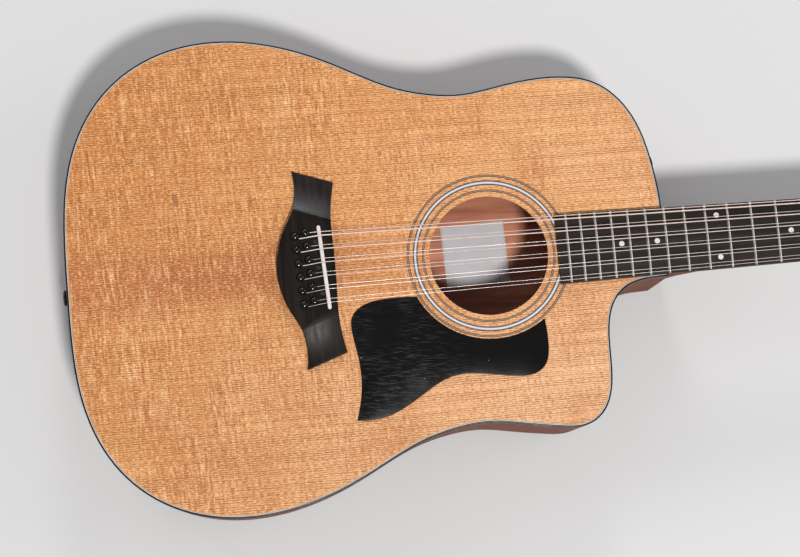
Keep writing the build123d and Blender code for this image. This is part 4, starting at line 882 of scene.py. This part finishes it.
def bridge_outer(u, v, w, e):
    if w < 0.2 or (saddle_axis(u, v) < 2.6 and abs(v) < 39):
        return False
    return all(math.hypot(u - a, v - b) > 3.4 for a, b in PINS + SCREWS)


soften_edges("bridge", 0.55, bridge_outer)
soften_edges("pickguard", 0.35, lambda u, v, w, e: w > 0.7)
soften_edges("saddle", 0.35, lambda u, v, w, e: w > 9.0)

# ------------------------------------------------------------------ headstock pieces
soften_edges("headstock_overlay", 0.4, lambda u, v, w, e: True, segments=2)
soften_edges("truss_rod_cover", 0.4, lambda u, v, w, e: True, segments=2)
soften_edges("nut", 0.3, lambda u, v, w, e: abs(v) > 22.6 or w < 3, segments=2)


def machine(k):
    """Matrix of one tuning machine: x outwards, z out of the headstock's face, origin on the post's axis."""
    s, y, side = POSTS[k]
    x = Vector((0, side, 0))
    yv = N_DIR.cross(x)
    m = Matrix((x, yv, N_DIR)).transposed().to_4x4()
    m.translation = H(s, y, 0)
    return m


def pieces_of(node):
    """Vertex index sets of the separate solids in a CAD node, with its welded bmesh."""
    bm = bmesh.new()
    bm.from_mesh(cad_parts[node].data)
    bmesh.ops.remove_doubles(bm, verts=bm.verts, dist=2e-6)
    seen, groups = set(), []
    for v in bm.verts:
        if v.index in seen:
            continue
        stack, group = [v], []
        seen.add(v.index)
        while stack:
            a = stack.pop()
            group.append(a)
            for e in a.link_edges:
                b = e.other_vert(a)
                if b.index not in seen:
                    seen.add(b.index)
                    stack.append(b)
        groups.append(group)
    return bm, groups


def local_box(group, inv):
    pts = [inv @ v.co for v in group]
    return [min(p[i] for p in pts) / MM for i in range(3)], [max(p[i] for p in pts) / MM for i in range(3)]


for i in range(12):
    k = STRING_POST[i]
    node = f"string_post_{i + 1:02d}"
    m = machine(k)
    inv = m.inverted()
    side = POSTS[k][2]
    bm, groups = pieces_of(node)
    for g in groups:
        lo, hi = local_box(g, inv)
        if lo[2] > 4.5 and hi[2] < 8.2:
            bmesh.ops.delete(bm, geom=g, context="VERTS")
    me = bpy.data.meshes.new(node + "_fine")
    bm.to_mesh(me)
    bm.free()
    me.materials.append(CHROME)
    sharpen(me, 32.0)
    o = bpy.data.objects.new(node + "_fine", me)
    COL.objects.link(o)
    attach(o, f"post_{i + 1:02d}")
    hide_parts(node)
    r = GAUGE[i] / 2
    rad = POST_R + r + 0.03
    turns = max(2.0, min(6.0, (WIND_N - 4.8 - 2 * r) / (2 * r * 1.05)))
    path = []
    # out of the post's hole, down to the meeting point, then wound downwards
    for j in range(9):
        t = j / 8
        a = math.pi * (1 - 0.5 * (1 - t)) if side > 0 else math.pi * (1 + 0.5 * (1 - t))
        rr = rad if j > 0 else POST_R - 0.6
        path.append((rr * math.cos(a), rr * math.sin(a), 9.6 + (WIND_N + r + 0.1 - 9.6) * t ** 1.2))
    steps = int(turns * 28)
    drop = (WIND_N + 0.1 + r) - (4.8 + r)
    for j in range(1, steps + 1):
        t = j / steps
        a = math.pi + side * 2 * math.pi * turns * t
        path.append((rad * math.cos(a), rad * math.sin(a), WIND_N + r + 0.1 - drop * t))
    v, f = tube([m @ (Vector(p) * MM) for p in path], r * MM, 8)
    o = new_object(f"winding_{i + 1:02d}", v, f, BRONZE_WIRE if i in WOUND else STEEL_WIRE, True, 50)
    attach(o, f"post_{i + 1:02d}")
    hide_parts(node)

    # key: shaft and worm as they are, its button rounded
    node = f"tuner_key_{i + 1:02d}"
    bm, groups = pieces_of(node)
    button = set()
    for g in groups:
        lo, hi = local_box(g, inv)
        if hi[1] - lo[1] > 12 and lo[0] > 10:
            button |= {v.index for v in g}
    bm.verts.index_update()
    picked = [e for e in bm.edges if len(e.link_faces) == 2 and all(v.index in button for v in e.verts)
              and 28 < math.degrees(e.calc_face_angle(0.0)) and (inv @ e.verts[0].co).x / MM > BUTTON_X - 0.5
              and abs((inv @ e.verts[0].co).y / MM - side * WORM_C) > 2.2]
    bmesh.ops.bevel(bm, geom=picked, offset=0.5 * MM, segments=3, profile=0.5, affect="EDGES", clamp_overlap=True)
    me = bpy.data.meshes.new(node + "_fine")
    bm.to_mesh(me)
    bm.free()
    me.materials.append(CHROME)
    sharpen(me, 35.0)
    o = bpy.data.objects.new(node + "_fine", me)
    COL.objects.link(o)
    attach(o, f"key_{i + 1:02d}")
    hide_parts(node)
